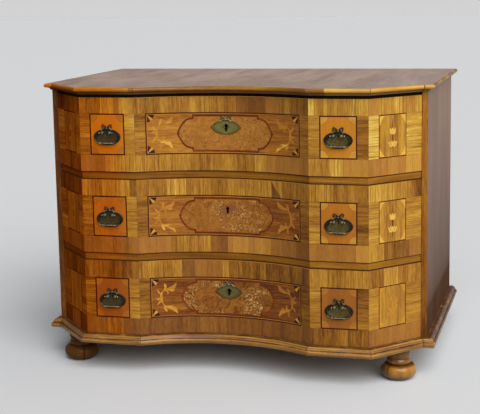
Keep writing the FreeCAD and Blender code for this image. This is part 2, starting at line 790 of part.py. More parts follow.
def make_bail(label, x, z):
    """A round bar bent to a wide loop, open between the posts. It leaves a ball beside each post
    outwards, turns down, and runs across below. A pin from each ball turns in its post."""
    bail = sub_part(label, x, pivot_y, z)
    gap = size.post_head_radius + size.bail_end_gap + size.bail_end_radius
    half = size.post_half + gap
    corner = size.bail_corner
    outer = half + corner
    drop = 2 * corner + size.bail_side
    section = sketch_on(bail, "YZ_Plane", half)
    draw_circle(section, 0, 0, size.bail_radius)
    path = sketch_on(bail, "XZ_Plane")
    draw(path, [
        (half, 0),
        (outer, -corner, -corner),
        (outer, corner - drop),
        (half, -drop, -corner),
        (-half, -drop),
        (-outer, corner - drop, -corner),
        (-outer, -corner),
        (-half, 0, -corner),
    ], closed=False)
    bar = bail.newObject("PartDesign::AdditivePipe", f"{label}_bar")
    bar.Profile = section
    bar.Spine = (path, [])
    pin_length = gap + size.pivot_beyond
    for middle, start in ((-half, -half), (half, half - pin_length)):
        ball = bail.newObject("PartDesign::AdditiveSphere", f"{label}_ball")
        bind(ball, "Radius", size.bail_end_radius)
        bind(ball, "Placement.Base.x", middle)
        pin = sketch_on(bail, "YZ_Plane", start)
        draw_circle(pin, 0, 0, size.pivot_radius)
        pad(bail, pin, pin_length)


def make_key_plate(name, floor, opening):
    """A brass plate bent to the hollow of the front, pierced by the keyhole. The top drawer's
    is an oval with a lobe at each end, and the bottom drawer's is pointed."""
    plate = sub_part(f"{name}_key_plate", z=floor)
    middle = size.key_height - size.key_plate_drop
    half_width, half_height = size.key_plate_half_width, size.key_plate_half_height
    blank_depth = size.hollow_sag / 2
    blank = sketch_on(plate, "XZ_Plane", -hollow_floor)
    if name == "bottom":
        bend = (half_width * half_width + half_height * half_height) / (2 * half_height)
        draw(blank, [(half_width, middle, bend), (-half_width, middle, bend)])
        pad(plate, blank, blank_depth)
    else:
        draw_oval(blank, 0, middle, half_width, half_height)
        pad(plate, blank, blank_depth)
        lobes = sketch_on(plate, "XZ_Plane", -hollow_floor)
        for x in (-half_width, half_width):
            draw_circle(lobes, x, middle, size.key_plate_lobe)
        pad(plate, lobes, blank_depth)
    before = sketch_on(plate, "XY_Plane", opening)
    draw(before, front_line(size.key_plate_gap + size.key_plate_thickness)[2:4])
    cut_through(plate, before)
    add_bow(plate, -hollow_floor, middle + half_height + size.bow_knot_radius / 2)
    behind = sketch_on(plate, "XY_Plane", opening)
    draw(behind, front_line(size.key_plate_gap)[2:4] + [(-size.hollow_half, 0), (size.hollow_half, 0)])
    cut_through(plate, behind)
    keyhole = sketch_on(plate, "XZ_Plane", size.wing_depth)
    draw_keyhole(keyhole)
    cut_through(plate, keyhole)


def write_parts():
    """Checks every object and writes each sub-part to its own file."""
    doc.recompute()
    for thing in doc.Objects:
        if {"Invalid", "Error"} & set(thing.State):
            raise RuntimeError(f"{thing.Label} failed: {thing.State}")
    os.makedirs("parts", exist_ok=True)
    for node in nodes:
        if node.Shape.isNull() or not node.Shape.isValid():
            raise RuntimeError(f"{node.Label} has no valid shape")
        node.Shape.exportStep(f"parts/{node.Label}.step")


make_case()
make_mouldings()
make_feet()
for name, floor, opening in DRAWERS:
    make_drawer_box(name, floor, opening)
    make_lock(name, floor, opening)
    make_pulls(name, floor)
    if name != "middle":
        make_key_plate(name, floor, opening)
write_parts()
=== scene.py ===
import math

import bmesh
import bpy
import numpy as np
from mathutils import Matrix, Vector


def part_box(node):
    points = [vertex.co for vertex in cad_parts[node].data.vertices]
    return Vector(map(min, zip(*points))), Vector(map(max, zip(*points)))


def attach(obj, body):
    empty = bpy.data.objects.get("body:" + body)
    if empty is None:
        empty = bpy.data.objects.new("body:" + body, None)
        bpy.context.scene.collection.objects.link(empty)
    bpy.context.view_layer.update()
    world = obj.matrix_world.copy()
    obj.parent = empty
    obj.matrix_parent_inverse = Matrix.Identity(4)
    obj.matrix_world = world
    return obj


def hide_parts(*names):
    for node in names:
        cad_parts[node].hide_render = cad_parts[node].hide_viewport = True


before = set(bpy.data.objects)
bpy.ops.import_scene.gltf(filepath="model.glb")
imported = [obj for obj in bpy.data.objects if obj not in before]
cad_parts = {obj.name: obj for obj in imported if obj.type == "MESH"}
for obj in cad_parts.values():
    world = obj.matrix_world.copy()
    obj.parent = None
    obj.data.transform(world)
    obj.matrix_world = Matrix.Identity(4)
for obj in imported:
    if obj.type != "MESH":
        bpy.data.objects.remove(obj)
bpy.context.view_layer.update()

# ---------------------------------------------------------------------------------------------
# Softwood boards: the bottom, the back, the runners, kickers and stops of the case, and the
# sides, backs and bottoms of the drawers. Planed pine, never varnished, grey-brown with age.
# The drawer fronts are glued up from the same wood behind their veneer.

DRAWERS = ("top", "middle", "bottom")
SIDES = {"left": -1, "right": 1}


def srgb(red, green, blue):
    """Linear colour of an sRGB colour given from 0 to 255: ((c + 0.055) / 1.055) ^ 2.4."""
    part = (np.array([red, green, blue]) / 255 + 0.055) / 1.055
    return (*(part ** 2.4), 1.0)


def shades(*stops):
    """Stops of a colour ramp from (place, red, green, blue) ones, the colours as in srgb."""
    return [(place, srgb(*colour)) for place, *colour in stops]


def shader_of(paint):
    """A material's Principled shader."""
    return paint.node_tree.nodes["Principled BSDF"]


def new_paint(name, roughness, **sockets):
    """A material; what is the same all over is set on its shader."""
    paint = bpy.data.materials.new(name)
    paint.use_nodes = True
    for socket, value in {"Roughness": roughness, **sockets}.items():
        shader_of(paint).inputs[socket.replace("_", " ")].default_value = value
    return paint


def node(paint, kind, inputs=(), **settings):
    """Adds a shader node; inputs give each socket a constant or the output that feeds it."""
    made = paint.node_tree.nodes.new("ShaderNode" + kind)
    for setting, value in settings.items():
        setattr(made, setting, value)
    for socket, value in dict(inputs).items():
        if isinstance(value, bpy.types.NodeSocket):
            paint.node_tree.links.new(value, made.inputs[socket])
        else:
            made.inputs[socket].default_value = value
    return made


def math_node(paint, operation, first, *others, clamp=False):
    """The output of one sum on two values, carried on with each further value."""
    for other in others or (0.0,):
        made = node(paint, "Math", {0: first, 1: other}, operation=operation, use_clamp=clamp)
        first = made.outputs["Value"]
    return first


def linear(paint, value, slope, start):
    """start + slope * value."""
    return math_node(paint, "ADD", math_node(paint, "MULTIPLY", value, slope), start)


def distance(paint, first, second):
    """|first - second|."""
    return math_node(paint, "ABSOLUTE", math_node(paint, "SUBTRACT", first, second))


def noise(paint, vector, scale, detail=3.0, rough=0.55, distortion=0.0):
    """The grey output of a noise whose scale is a number or three numbers, one an axis."""
    if not isinstance(scale, (int, float)):
        stretched = node(paint, "Mapping", {"Vector": vector, "Scale": scale})
        vector, scale = stretched.outputs["Vector"], 1.0
    return node(paint, "TexNoise", {"Vector": vector, "Scale": scale, "Detail": detail,
                                    "Roughness": rough, "Distortion": distortion}).outputs["Fac"]


def ramp(paint, value, stops):
    """The colour of a value on a ramp of (place, colour) stops."""
    made = node(paint, "ValToRGB", {"Fac": value})
    elements = made.color_ramp.elements
    for index, (place, colour) in enumerate(stops):
        element = elements[index] if index < 2 else elements.new(place)
        element.position, element.color = place, colour
    return made.outputs["Color"]


def mix(paint, share, first, second, blend="MIX"):
    """Two colours mixed by a share."""
    made = node(paint, "Mix", {"Factor": share}, data_type="RGBA", blend_type=blend)
    for socket, value in (("A", first), ("B", second)):
        entry = next(i for i in made.inputs if i.name == socket and i.type == "RGBA")
        if isinstance(value, bpy.types.NodeSocket):
            paint.node_tree.links.new(value, entry)
        else:
            entry.default_value = value
    return next(o for o in made.outputs if o.type == "RGBA")


def total(paint, start, *weighted):
    """start plus the sum of (value - 0.5) * weight over the pairs, held from 0 to 1."""
    for value, weight in weighted:
        start = linear(paint, math_node(paint, "SUBTRACT", value, 0.5), weight, start)
    return math_node(paint, "ADD", start, 0.0, clamp=True)


def feed(paint, value, socket="Base Color"):
    """Lets an output feed a socket of the material's shader."""
    paint.node_tree.links.new(value, shader_of(paint).inputs[socket])


def colour_of(paint):
    """The output that feeds the material's colour."""
    return shader_of(paint).inputs["Base Color"].links[0].from_socket


def tint(paint, share, colour):
    """Mixes a share of one colour into the material's own."""
    feed(paint, mix(paint, share, colour_of(paint), colour))


def object_place(paint):
    """The output of the Object coordinates."""
    return node(paint, "TexCoord").outputs["Object"]


def axes(paint, vector=None):
    """The X, Y and Z outputs of a vector, which is the Object coordinates if none is given."""
    vector = object_place(paint) if vector is None else vector
    return node(paint, "SeparateXYZ", {"Vector": vector}).outputs


def set_bump(paint, height, depth):
    """A bump of a height map, its depth in metres."""
    bump = node(paint, "Bump", {"Height": height, "Distance": depth, "Strength": 1.0})
    feed(paint, bump.outputs["Normal"], "Normal")


# How often each noise of a wood changes in a metre: across the grain, and along it.
RINGS, PORES, PATCHES = (60.0, 2.0), (900.0, 25.0), (9.0, 1.5)


def wood_paint(name, stops, along, roughness, tone=0.5, streak=0.5, **sockets):
    """Wood on Object coordinates. The grain is a noise drawn out along one axis, 0 for x, 1 for
    y and 2 for z; two coarser noises change the tone and a finer one makes the pores."""
    paint = new_paint(name, roughness, **sockets)
    place = object_place(paint)
    rings, pores, patches = ([scale[axis == along] for axis in range(3)]
                             for scale in (RINGS, PORES, PATCHES))
    ring = noise(paint, place, rings, detail=4.0, distortion=0.4)
    pore = noise(paint, place, pores, detail=2.0)
    patch = noise(paint, place, patches, detail=2.0)
    mottle = noise(paint, place, 7.0, detail=4.0)
    value = total(paint, tone, (ring, streak), (pore, 0.25), (patch, 0.4), (mottle, 0.3))
    feed(paint, ramp(paint, value, stops))
    set_bump(paint, total(paint, 0.5, (pore, 0.8), (ring, 0.3)), 0.0002)
    feed(paint, linear(paint, mottle, 0.25, roughness - 0.12), "Roughness")
    return paint


def dress(paint, *nodes):
    """Gives CAD nodes one material in all their slots."""
    for name in nodes:
        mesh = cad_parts[name].data
        mesh.materials.clear()
        mesh.materials.append(paint)


PINE = shades((0.0, 104, 70, 40), (0.4, 156, 116, 72), (0.7, 182, 146, 98), (1.0, 204, 174, 128))
KEYHOLE_MIDDLE = 0.1275
# Half the width and half the height of the painted shade inside each keyhole.
KEYHOLE_SHADE = (0.0075, 0.014)
FACES_UP = 0.9  # the least z of the normal


def shade_keyholes_and_edges(paint):
    """Paints shade on the front's wood inside the three keyholes, where |x| is less than the first
    keyhole size and |z - middle of the hole| less than the second, and on its edges that face up,
    in the gaps above the fronts."""
    place = axes(paint)
    nearest = math_node(paint, "MINIMUM", *(
        distance(paint, place["Z"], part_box(f"{name}_drawer_front")[0].z + KEYHOLE_MIDDLE)
        for name in DRAWERS))
    beside = math_node(paint, "ABSOLUTE", place["X"])
    inside = math_node(paint, "MULTIPLY", math_node(paint, "LESS_THAN", beside, KEYHOLE_SHADE[0]),
                       math_node(paint, "LESS_THAN", nearest, KEYHOLE_SHADE[1]))
    tint(paint, inside, srgb(16, 9, 5))
    facing = axes(paint, node(paint, "NewGeometry").outputs["True Normal"])["Z"]
    upper = math_node(paint, "GREATER_THAN", facing, FACES_UP)
    tint(paint, math_node(paint, "MULTIPLY", upper, 0.85), srgb(52, 28, 12))
    return paint


dress(wood_paint("pine_along_x", PINE, 0, 0.7), "bottom_board",
      *(f"{name}_drawer_{part}" for name in DRAWERS for part in ("back", "bottom")))
# The fronts' pine is painted dark inside the keyholes and on its upper edges, as shade.
dress(shade_keyholes_and_edges(wood_paint("pine_fronts", PINE, 0, 0.7, Specular_IOR_Level=0.05)),
      *(f"{name}_drawer_front" for name in DRAWERS))
dress(wood_paint("pine_along_y", PINE, 1, 0.7), "runners_left", "runners_right", "kickers",
      "drawer_stops", *(f"{name}_drawer_side_{side}" for name in DRAWERS for side in SIDES))
dress(wood_paint("pine_upright", PINE, 2, 0.7), "back_boards")

# ---------------------------------------------------------------------------------------------
# Side panels: pine veneered with walnut in upright leaves. Light and wax have faded them to a
# dull mauve brown, darker and duller towards the floor.

FADED_WALNUT = shades((0.0, 72, 44, 30), (0.35, 114, 80, 60), (0.6, 142, 108, 86),
                      (1.0, 172, 144, 120))
# From the first height to the second, a darkening fades out and shine comes in.
SIDE_DARKENING, SIDE_SHINE = (0.10, 0.72), (0.20, 0.80)


def between(paint, value, start, end, low=0.0, high=1.0):
    """low where a value is at start, high where it is at end, and in step with it between."""
    return node(paint, "MapRange", {"Value": value, "From Min": start, "From Max": end,
                                    "To Min": low, "To Max": high}).outputs["Result"]


side_veneer = wood_paint("side_veneer", FADED_WALNUT, 2, 0.5, streak=0.35)
height = axes(side_veneer)["Z"]
tint(side_veneer, between(side_veneer, height, *SIDE_DARKENING, 0.72, 0.0), srgb(30, 14, 4))
feed(side_veneer, between(side_veneer, height, *SIDE_SHINE, 0.0, 0.45), "Specular IOR Level")
dress(side_veneer, "side_panel_left", "side_panel_right")

# ---------------------------------------------------------------------------------------------
# Rails between the drawers: oak faced with walnut whose grain runs along the rail. The face is
# set back behind the drawer fronts.

RAIL_WALNUT = shades((0.0, 72, 38, 8), (0.4, 116, 70, 16), (0.7, 148, 98, 28), (1.0, 178, 128, 48))


def band_paint(name, stops, roughness, tone=0.5, streak=0.6, runs=(), **sockets):
    """Wood whose grain runs level along any front or side: the noise changes fast with z and
    slowly with x and y. A slow noise parts the run into lengths of different tone, and so does
    each (x, change) of `runs`, for all that lies to the right of x."""
    paint = new_paint(name, roughness, **sockets)
    place = object_place(paint)
    line = noise(paint, place, (5.0, 5.0, 260.0), detail=4.0, distortion=0.3)
    pore = noise(paint, place, (60.0, 60.0, 1500.0), detail=2.0)
    length = noise(paint, place, (7.0, 7.0, 1.0), detail=1.0)
    wear = noise(paint, place, 55.0, detail=5.0, rough=0.7)
    here = axes(paint, place)["X"]
    for x, change in runs:
        tone = linear(paint, math_node(paint, "GREATER_THAN", here, x), change, tone)
    value = total(paint, tone, (line, streak), (pore, 0.3), (length, 0.5), (wear, 0.25))
    feed(paint, ramp(paint, value, stops))
    set_bump(paint, total(paint, 0.5, (line, 0.5), (wear, 0.6)), 0.0004)
    return paint


# The painted shade's tints, and the x that the painted shade and the dullness run from and to.
DEEPEST_SHADE_TINT, SHADE_TINT, NO_SHADE_TINT = (1.0, 0.56, 0.34, 1), (1.0, 0.68, 0.42, 1), (1.0, 1.0, 1.0, 1)
LEFT_SHADE_TINTS = [(0.0, DEEPEST_SHADE_TINT), (0.50, DEEPEST_SHADE_TINT), (0.53, SHADE_TINT), (0.82, SHADE_TINT),
              (1.0, NO_SHADE_TINT)]
SHADE_SPAN, DULLED = (-0.60, -0.27), (-0.35, -0.27)


def shade_left_end(paint, tints=LEFT_SHADE_TINTS):
    """Paints shade on the wood towards the left end of the front, away from the light, and dulls
    it
    there: its colour is multiplied by a darker, redder tint that changes with x."""
    here = axes(paint)["X"]
    shade_colour = ramp(paint, between(paint, here, *SHADE_SPAN), tints)
    feed(paint, mix(paint, 1.0, colour_of(paint), shade_colour, "MULTIPLY"))
    shine = shader_of(paint).inputs["Specular IOR Level"].default_value
    feed(paint, between(paint, here, *DULLED, 0.0, shine), "Specular IOR Level")
    return paint


# How far in from each edge of a rail its painted shade reaches.
RAIL_SHADE_EDGE = 0.003
# Painted light and shade along the rails: a little darker from x = -0.26 on, and lighter from x =
# 0.26, towards the light on the right.
RAIL_LIGHT_RUNS = ((-0.26, -0.04), (0.26, 0.18))


def rail_paint():
    """Rail wood with painted shade along both edges, beside the drawer fronts that stand proud of
    it: the way to the nearer edge is half the height less |z - middle|."""
    paint = band_paint("rail_walnut", RAIL_WALNUT, 0.5, 0.53, 0.95, RAIL_LIGHT_RUNS,
                       Specular_IOR_Level=0.1)
    height = axes(paint)["Z"]
    boxes = [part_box(f"drawer_rail_{place}") for place in ("lower", "upper")]
    half = (boxes[0][1].z - boxes[0][0].z) / 2
    nearest = math_node(paint, "MINIMUM", *(distance(paint, height, low.z + half)
                                            for low, _ in boxes))
    tint(paint, between(paint, nearest, half - RAIL_SHADE_EDGE, half - RAIL_SHADE_EDGE / 3, 0.0, 0.75),
         srgb(66, 28, 8))
    return paint


# The rails take painted shade, darker and redder, towards their left end.
dress(shade_left_end(rail_paint()), "drawer_rail_lower", "drawer_rail_upper")
# The top rail sits back in the gap below the top: it is painted near black, as the shade in that
# gap.
SHADE_DARK_RAIL = shades((0.0, 14, 8, 4), (1.0, 48, 28, 14))
dress(band_paint("shade_darkened_rail", SHADE_DARK_RAIL, 0.7, Specular_IOR_Level=0.1), "top_rail")

# ---------------------------------------------------------------------------------------------
# Mouldings of the top and the base: walnut strips run with a moulding plane, mitred at each
# corner of the front and glued to the boards' edges. Their arrises are rubbed pale.

FLAT_HALF = 0.432
HOLLOW_HALF = 0.260
HOLLOW_SAG = 0.069
INSIDE_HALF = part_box("bottom_board")[1].x
FLAT_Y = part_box("bottom_board")[0].y
STILE_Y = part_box("side_panel_left")[0].y
WING_WIDTH, WING_DEPTH = INSIDE_HALF - FLAT_HALF, STILE_Y - FLAT_Y
WING_LENGTH = math.hypot(WING_WIDTH, WING_DEPTH)
HOLLOW_RADIUS = (HOLLOW_HALF ** 2 + HOLLOW_SAG ** 2) / (2 * HOLLOW_SAG)
# How far each mitre leans away from the middle as it comes forward.
WING_LEAN = (WING_LENGTH - WING_WIDTH) / WING_DEPTH
HOLLOW_LEAN = -math.tan(math.asin(HOLLOW_HALF / HOLLOW_RADIUS) / 2)
TOP_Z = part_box("top_board")[1].z
BASE_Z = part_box("base_moulding")[0].z
RETURN_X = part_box("side_panel_right")[1].x + 0.003
RETURN_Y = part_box("side_panel_right")[0].y - 0.004
NOSE_FOOT = 0.012
TOP_WALNUT = shades((0.0, 74, 42, 10), (0.35, 128, 80, 20), (0.65, 178, 124, 34),
                    (1.0, 222, 172, 70))
BASE_WALNUT = shades((0.0, 52, 28, 10), (0.3, 104, 66, 26), (0.6, 144, 98, 42),
                     (0.85, 172, 130, 62), (1.0, 214, 180, 118))
# Painted light and shade along the top moulding: darker from x = -0.27 on, and much lighter from x
# = 0.31, towards the light on the right.
TOP_LIGHT_RUNS = ((-0.27, -0.2), (0.31, 0.45))
BASE_RUNS = ((-0.26, 0.08), (0.26, 0.04))
# Tints of the painted shade at the top moulding's left end.
TOP_SHADE_TINTS = [(0.0, (1.0, 0.66, 0.50, 1)), (0.85, (0.92, 0.70, 0.58, 1)), (1.0, NO_SHADE_TINT)]
# Dark lines in the base moulding's quirks: heights above its foot, and half its width.
QUIRKS = ((0.0052, 0.0004), (0.0147, 0.0010), (0.0205, 0.0005), (0.0256, 0.0007))
# Each mitre's place: x and y of the case's corner, how far it leans out, and half its width.
MITRES = (
    (HOLLOW_HALF, FLAT_Y, HOLLOW_LEAN, 0.0007),
    (FLAT_HALF, FLAT_Y, WING_LEAN, 0.0009),
    (INSIDE_HALF, STILE_Y, WING_LEAN, 0.0016),
)


def moulding_paint(name, stops, low, high, dark_below, tone, streak, runs=()):
    """Moulding wood, darker below a height (on the top moulding this is painted shade under the
    nose), where it returns along the sides and on the joints of its mitres, where
    ||x| - x0 - lean (y0 - y)| is under about half the joint's width."""
    paint = band_paint(name, stops, 0.42, tone, streak, runs, Specular_IOR_Level=0.35)
    place = axes(paint)
    tint(paint, between(paint, place["Z"], low, high, dark_below, 0.0), srgb(84, 46, 14))
    beside = math_node(paint, "ABSOLUTE", place["X"])
    side = math_node(paint, "GREATER_THAN", beside, RETURN_X)
    behind = math_node(paint, "GREATER_THAN", place["Y"], RETURN_Y)
    worn = noise(paint, object_place(paint), 38.0, detail=4.0, rough=0.7)
    worn = between(paint, worn, 0.50, 0.60, 0.75, 0.1)
    tint(paint, math_node(paint, "MULTIPLY", side, behind, worn), srgb(58, 34, 24))
    for x0, y0, lean, half in MITRES:
        reach = math_node(paint, "MULTIPLY", math_node(paint, "SUBTRACT", y0, place["Y"]), lean)
        away = distance(paint, math_node(paint, "SUBTRACT", beside, reach), x0)
        tint(paint, between(paint, away, half * 0.6, half * 1.4, 0.85, 0.0), srgb(44, 14, 6))
    return paint


def quirk_lines(paint):
    """Dark lines along the base moulding where |z - z0| is small, broken here and there by a
    noise,
    and worm holes: dark dots round the centres of some Voronoi cells."""
    place = object_place(paint)
    height = axes(paint, place)["Z"]
    wear = noise(paint, place, (22.0, 22.0, 60.0), detail=4.0, rough=0.65)
    broken = between(paint, wear, 0.38, 0.50, 0.15, 0.9)
    wander = math_node(paint, "MULTIPLY", math_node(paint, "SUBTRACT", wear, 0.5), 0.002)
    for above, half in QUIRKS:
        away = math_node(paint, "SUBTRACT", height, BASE_Z + above)
        away = math_node(paint, "ABSOLUTE", math_node(paint, "ADD", away, wander))
        line = between(paint, away, half * 0.5, half * 1.5, 1.0, 0.0)
        tint(paint, math_node(paint, "MULTIPLY", line, broken), srgb(58, 26, 8))
    cells = node(paint, "TexVoronoi", {"Vector": place, "Scale": 55.0, "Randomness": 1.0})
    tint(paint, between(paint, cells.outputs["Distance"], 0.07, 0.11, 0.9, 0.0),
         srgb(26, 12, 6))
    return paint


# The top moulding is painted dark below the foot of its nose, as the shade under the nose.
top_walnut = moulding_paint("top_moulding_walnut", TOP_WALNUT, TOP_Z - NOSE_FOOT - 0.001,
                            TOP_Z - NOSE_FOOT + 0.001, 0.7, 0.62, 0.5, TOP_LIGHT_RUNS)
base_walnut = moulding_paint("base_moulding_walnut", BASE_WALNUT, BASE_Z + 0.001,
                             BASE_Z + 0.004, 0.3, 0.48, 1.4, BASE_RUNS)
# The top moulding takes painted shade at its left end.
dress(shade_left_end(top_walnut, TOP_SHADE_TINTS), "top_moulding")
dress(quirk_lines(base_walnut), "base_moulding")

# ---------------------------------------------------------------------------------------------
# Four turned feet in walnut, stained and varnished. Drying has opened an upright crack in the
# ball of each one, and the neck is dark with old varnish and painted shade. Shade is painted
# also under each ball, on the sides that face the case's middle, and on the two left feet.

FOOT_WALNUT = shades((0.0, 66, 34, 12), (0.35, 132, 82, 26), (0.65, 176, 120, 42),
                     (1.0, 206, 158, 70))
# How dark each share of a foot's height is painted, tenon included: old varnish and painted
# shade on the neck and its rings, and painted shade under the ball, by the floor.
VARNISH_AND_SHADE_RINGS = ((0.0, 1.0), (0.07, 0.8), (0.15, 0.08), (0.38, 0.05), (0.43, 0.85), (0.50, 0.5),
             (0.57, 0.6), (0.60, 0.95), (0.64, 0.5), (0.80, 0.75))
# Painted shade on the side of a foot that faces the case's middle, under the case: its reach
# from the foot's own axis.
INNER_SHADE = (-0.048, -0.008)
CRACK_ANGLE = math.radians(-118)
CRACK_HALF_ANGLE = math.radians(3.0)
# How dark the painted shade on the two left feet is; they lose as much of their coat and specular
# shine.
LEFT_FOOT_SHADE = 0.8
FOOT_SHINE = {"Coat Weight": 0.3, "Specular IOR Level": 0.25}


def foot_paint():
    """Turned wood. The angle round each foot's own axis is atan2(y - axis, |x| - axis), and the
    crack is where it is near one angle."""
    paint = wood_paint("turned_walnut", FOOT_WALNUT, 2, 0.3, tone=0.6, Coat_Roughness=0.12)
    front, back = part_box("foot_front_right"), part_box("foot_back_right")
    axis_x = (front[0].x + front[1].x) / 2
    front_y, back_y = ((low.y + high.y) / 2 for low, high in (front, back))
    place = axes(paint)
    across = math_node(paint, "SUBTRACT", math_node(paint, "ABSOLUTE", place["X"]), axis_x)
    behind = math_node(paint, "GREATER_THAN", place["Y"], 0.0)
    axis_y = linear(paint, behind, back_y - front_y, front_y)
    angle = math_node(paint, "ARCTAN2", math_node(paint, "SUBTRACT", place["Y"], axis_y), across)
    wander = noise(paint, object_place(paint), (1.0, 1.0, 90.0), detail=2.0)
    away = distance(paint, linear(paint, wander, 0.09, angle), CRACK_ANGLE)
    height = between(paint, place["Z"], 0.0, front[1].z)
    rings = ramp(paint, height, [(share, (dark, dark, dark, 1)) for share, dark in VARNISH_AND_SHADE_RINGS])
    # Painted shade: on the side of each foot that faces the case's middle, and on the left feet.
    inner = between(paint, across, *INNER_SHADE, 0.75, 0.0)
    left = math_node(paint, "MULTIPLY", math_node(paint, "LESS_THAN", place["X"], 0.0), LEFT_FOOT_SHADE)
    bright = math_node(paint, "SUBTRACT", 1.0, left)
    for socket, most in FOOT_SHINE.items():
        feed(paint, math_node(paint, "MULTIPLY", bright, most), socket)
    tint(paint, math_node(paint, "MAXIMUM", rings, inner, left), srgb(48, 22, 10))
    tint(paint, between(paint, away, CRACK_HALF_ANGLE / 2, CRACK_HALF_ANGLE, 0.9, 0.0),
         srgb(60, 8, 6))
    return paint


dress(foot_paint(), *(f"foot_{row}_{side}" for row in ("front", "back") for side in SIDES))

# ---------------------------------------------------------------------------------------------
# The top: walnut leaves glued side by side over the boards, running out over the moulding to
# just short of its round nose. Sun and wax have bleached them grey mauve.

TOP_VENEER = 0.0003
VENEER_BED = 0.0002
NOSE_INSET = 0.0065
LEAF_WIDTH = 0.24
BEND_LINES = np.linspace(-0.264, 0.264, 45)
TOP_ROWS = 9


def stack(*parts):
    """Points from their coordinates, each a number or an array."""
    return np.stack(np.broadcast_arrays(*parts), -1)


def closed_sheet(top, under):
    """A sheet from two equal grids of points (rows, columns, 3), seen from the top's outside
    with columns to the right and rows upward: the top, the underside turned over, and a wall
    of faces round the rim."""
    rows, columns = top.shape[:2]
    count = rows * columns
    index = np.arange(count).reshape(rows, columns)
    face = np.stack([index[:-1, :-1], index[:-1, 1:], index[1:, 1:], index[1:, :-1]], -1)
    face = face.reshape(-1, 4)
    rim = np.concatenate([index[0, :-1], index[:-1, -1], index[-1, :0:-1], index[:0:-1, 0]])
    ahead = np.roll(rim, -1)
    walls = np.stack([rim, rim + count, ahead + count, ahead], -1)
    points = np.concatenate([top.reshape(-1, 3), under.reshape(-1, 3)])
    return points, np.concatenate([face, face[:, ::-1] + count, walls])


def make_piece(name, body, slot, paint, shells, smooth=False, weld=False, **values):
    """One mesh from shells, each (points, faces) with four corners a face. Each keyword is an
    attribute on the points, given as one array for each shell: numbers or triples. Welding
    closes seams and poles, whose points coincide, and turns all faces outward."""
    points = [shell_points for shell_points, _ in shells]
    starts = np.cumsum([0] + [len(part) for part in points])
    faces = [shell_faces + start for (_, shell_faces), start in zip(shells, starts)]
    mesh = bpy.data.meshes.new(name)
    mesh.from_pydata(np.concatenate(points).tolist(), [], np.concatenate(faces).tolist())
    for key, arrays in values.items():
        array = np.concatenate(arrays).astype(np.float32)
        kind, slot_name = ("FLOAT", "value") if array.ndim == 1 else ("FLOAT_VECTOR", "vector")
        layer = mesh.attributes.new(key, kind, "POINT")
        layer.data.foreach_set(slot_name, array.ravel())
    if weld:
        shape = bmesh.new()
        shape.from_mesh(mesh)
        bmesh.ops.remove_doubles(shape, verts=shape.verts, dist=2e-6)
        bmesh.ops.recalc_face_normals(shape, faces=shape.faces)
        shape.to_mesh(mesh)
        shape.free()
    mesh.polygons.foreach_set("use_smooth", [smooth] * len(mesh.polygons))
    mesh.materials.append(paint)
    mesh.validate()
    piece = bpy.data.objects.new(name, mesh)
    bpy.context.scene.collection.objects.link(piece)
    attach(piece, body)
    return piece


moulding_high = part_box("top_moulding")[1]
TOP_HALF = moulding_high.x - NOSE_INSET
TOP_BACK = moulding_high.y - VENEER_BED
HOLLOW_CENTRE_Y = FLAT_Y + HOLLOW_SAG - HOLLOW_RADIUS
TOP_REACH = TOP_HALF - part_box("side_panel_right")[1].x


def front_edge(x, reach):
    """The front outline at x, moved out by reach: stile, wing, flat and hollow in turn. On the
    hollow y = centre + sqrt((R - reach)^2 - x^2)."""
    x = np.abs(x)
    wing = FLAT_Y - reach + (x - FLAT_HALF - WING_LEAN * reach) * WING_DEPTH / WING_WIDTH
    radius = HOLLOW_RADIUS - reach
    hollow = HOLLOW_CENTRE_Y + np.sqrt(np.maximum(radius ** 2 - x ** 2, 0))
    return np.minimum(np.maximum(np.maximum(FLAT_Y - reach, wing), hollow), STILE_Y - reach)


def top_leaves():
    """Leaves between lines of x, each a grid from the front outline to the back:
    y = front(x) + (back - front(x)) * t. Every other leaf mirrors the figure of the one before
    it, and each pair has its own."""
    mitre = WING_LEAN * TOP_REACH
    bends = [-TOP_HALF, -INSIDE_HALF - mitre, -FLAT_HALF - mitre, *BEND_LINES,
             FLAT_HALF + mitre, INSIDE_HALF + mitre, TOP_HALF]
    joints = (np.arange(7) - 3) * LEAF_WIDTH
    lines = np.unique(np.concatenate([bends, joints]).round(6))
    lines = lines[np.abs(lines) <= TOP_HALF]
    shells, grains, tones = [], [], []
    edges = np.concatenate([[-TOP_HALF], joints[1:-1], [TOP_HALF]])
    for number, (left, right) in enumerate(zip(edges, edges[1:])):
        x = lines[(lines >= left - 1e-6) & (lines <= right + 1e-6)]
        share = np.linspace(0, 1, TOP_ROWS)[:, None]
        front = front_edge(x, TOP_REACH)[None, :]
        grid = stack(x[None, :], front + (TOP_BACK - front) * share, TOP_Z + TOP_VENEER)
        shells.append(closed_sheet(grid, grid - np.array([0, 0, TOP_VENEER + VENEER_BED])))
        x, y, _ = shells[-1][0].T
        grains.append(stack(y, x if number % 2 else -x, number // 2 * 1.7))
        tones.append(np.full(len(x), 0.5 + 0.03 * (number % 3)))
    return shells, grains, tones


def attribute(paint, name, socket="Fac"):
    """What a piece's own attribute gives at each point."""
    return node(paint, "Attribute", attribute_name=name).outputs[socket]


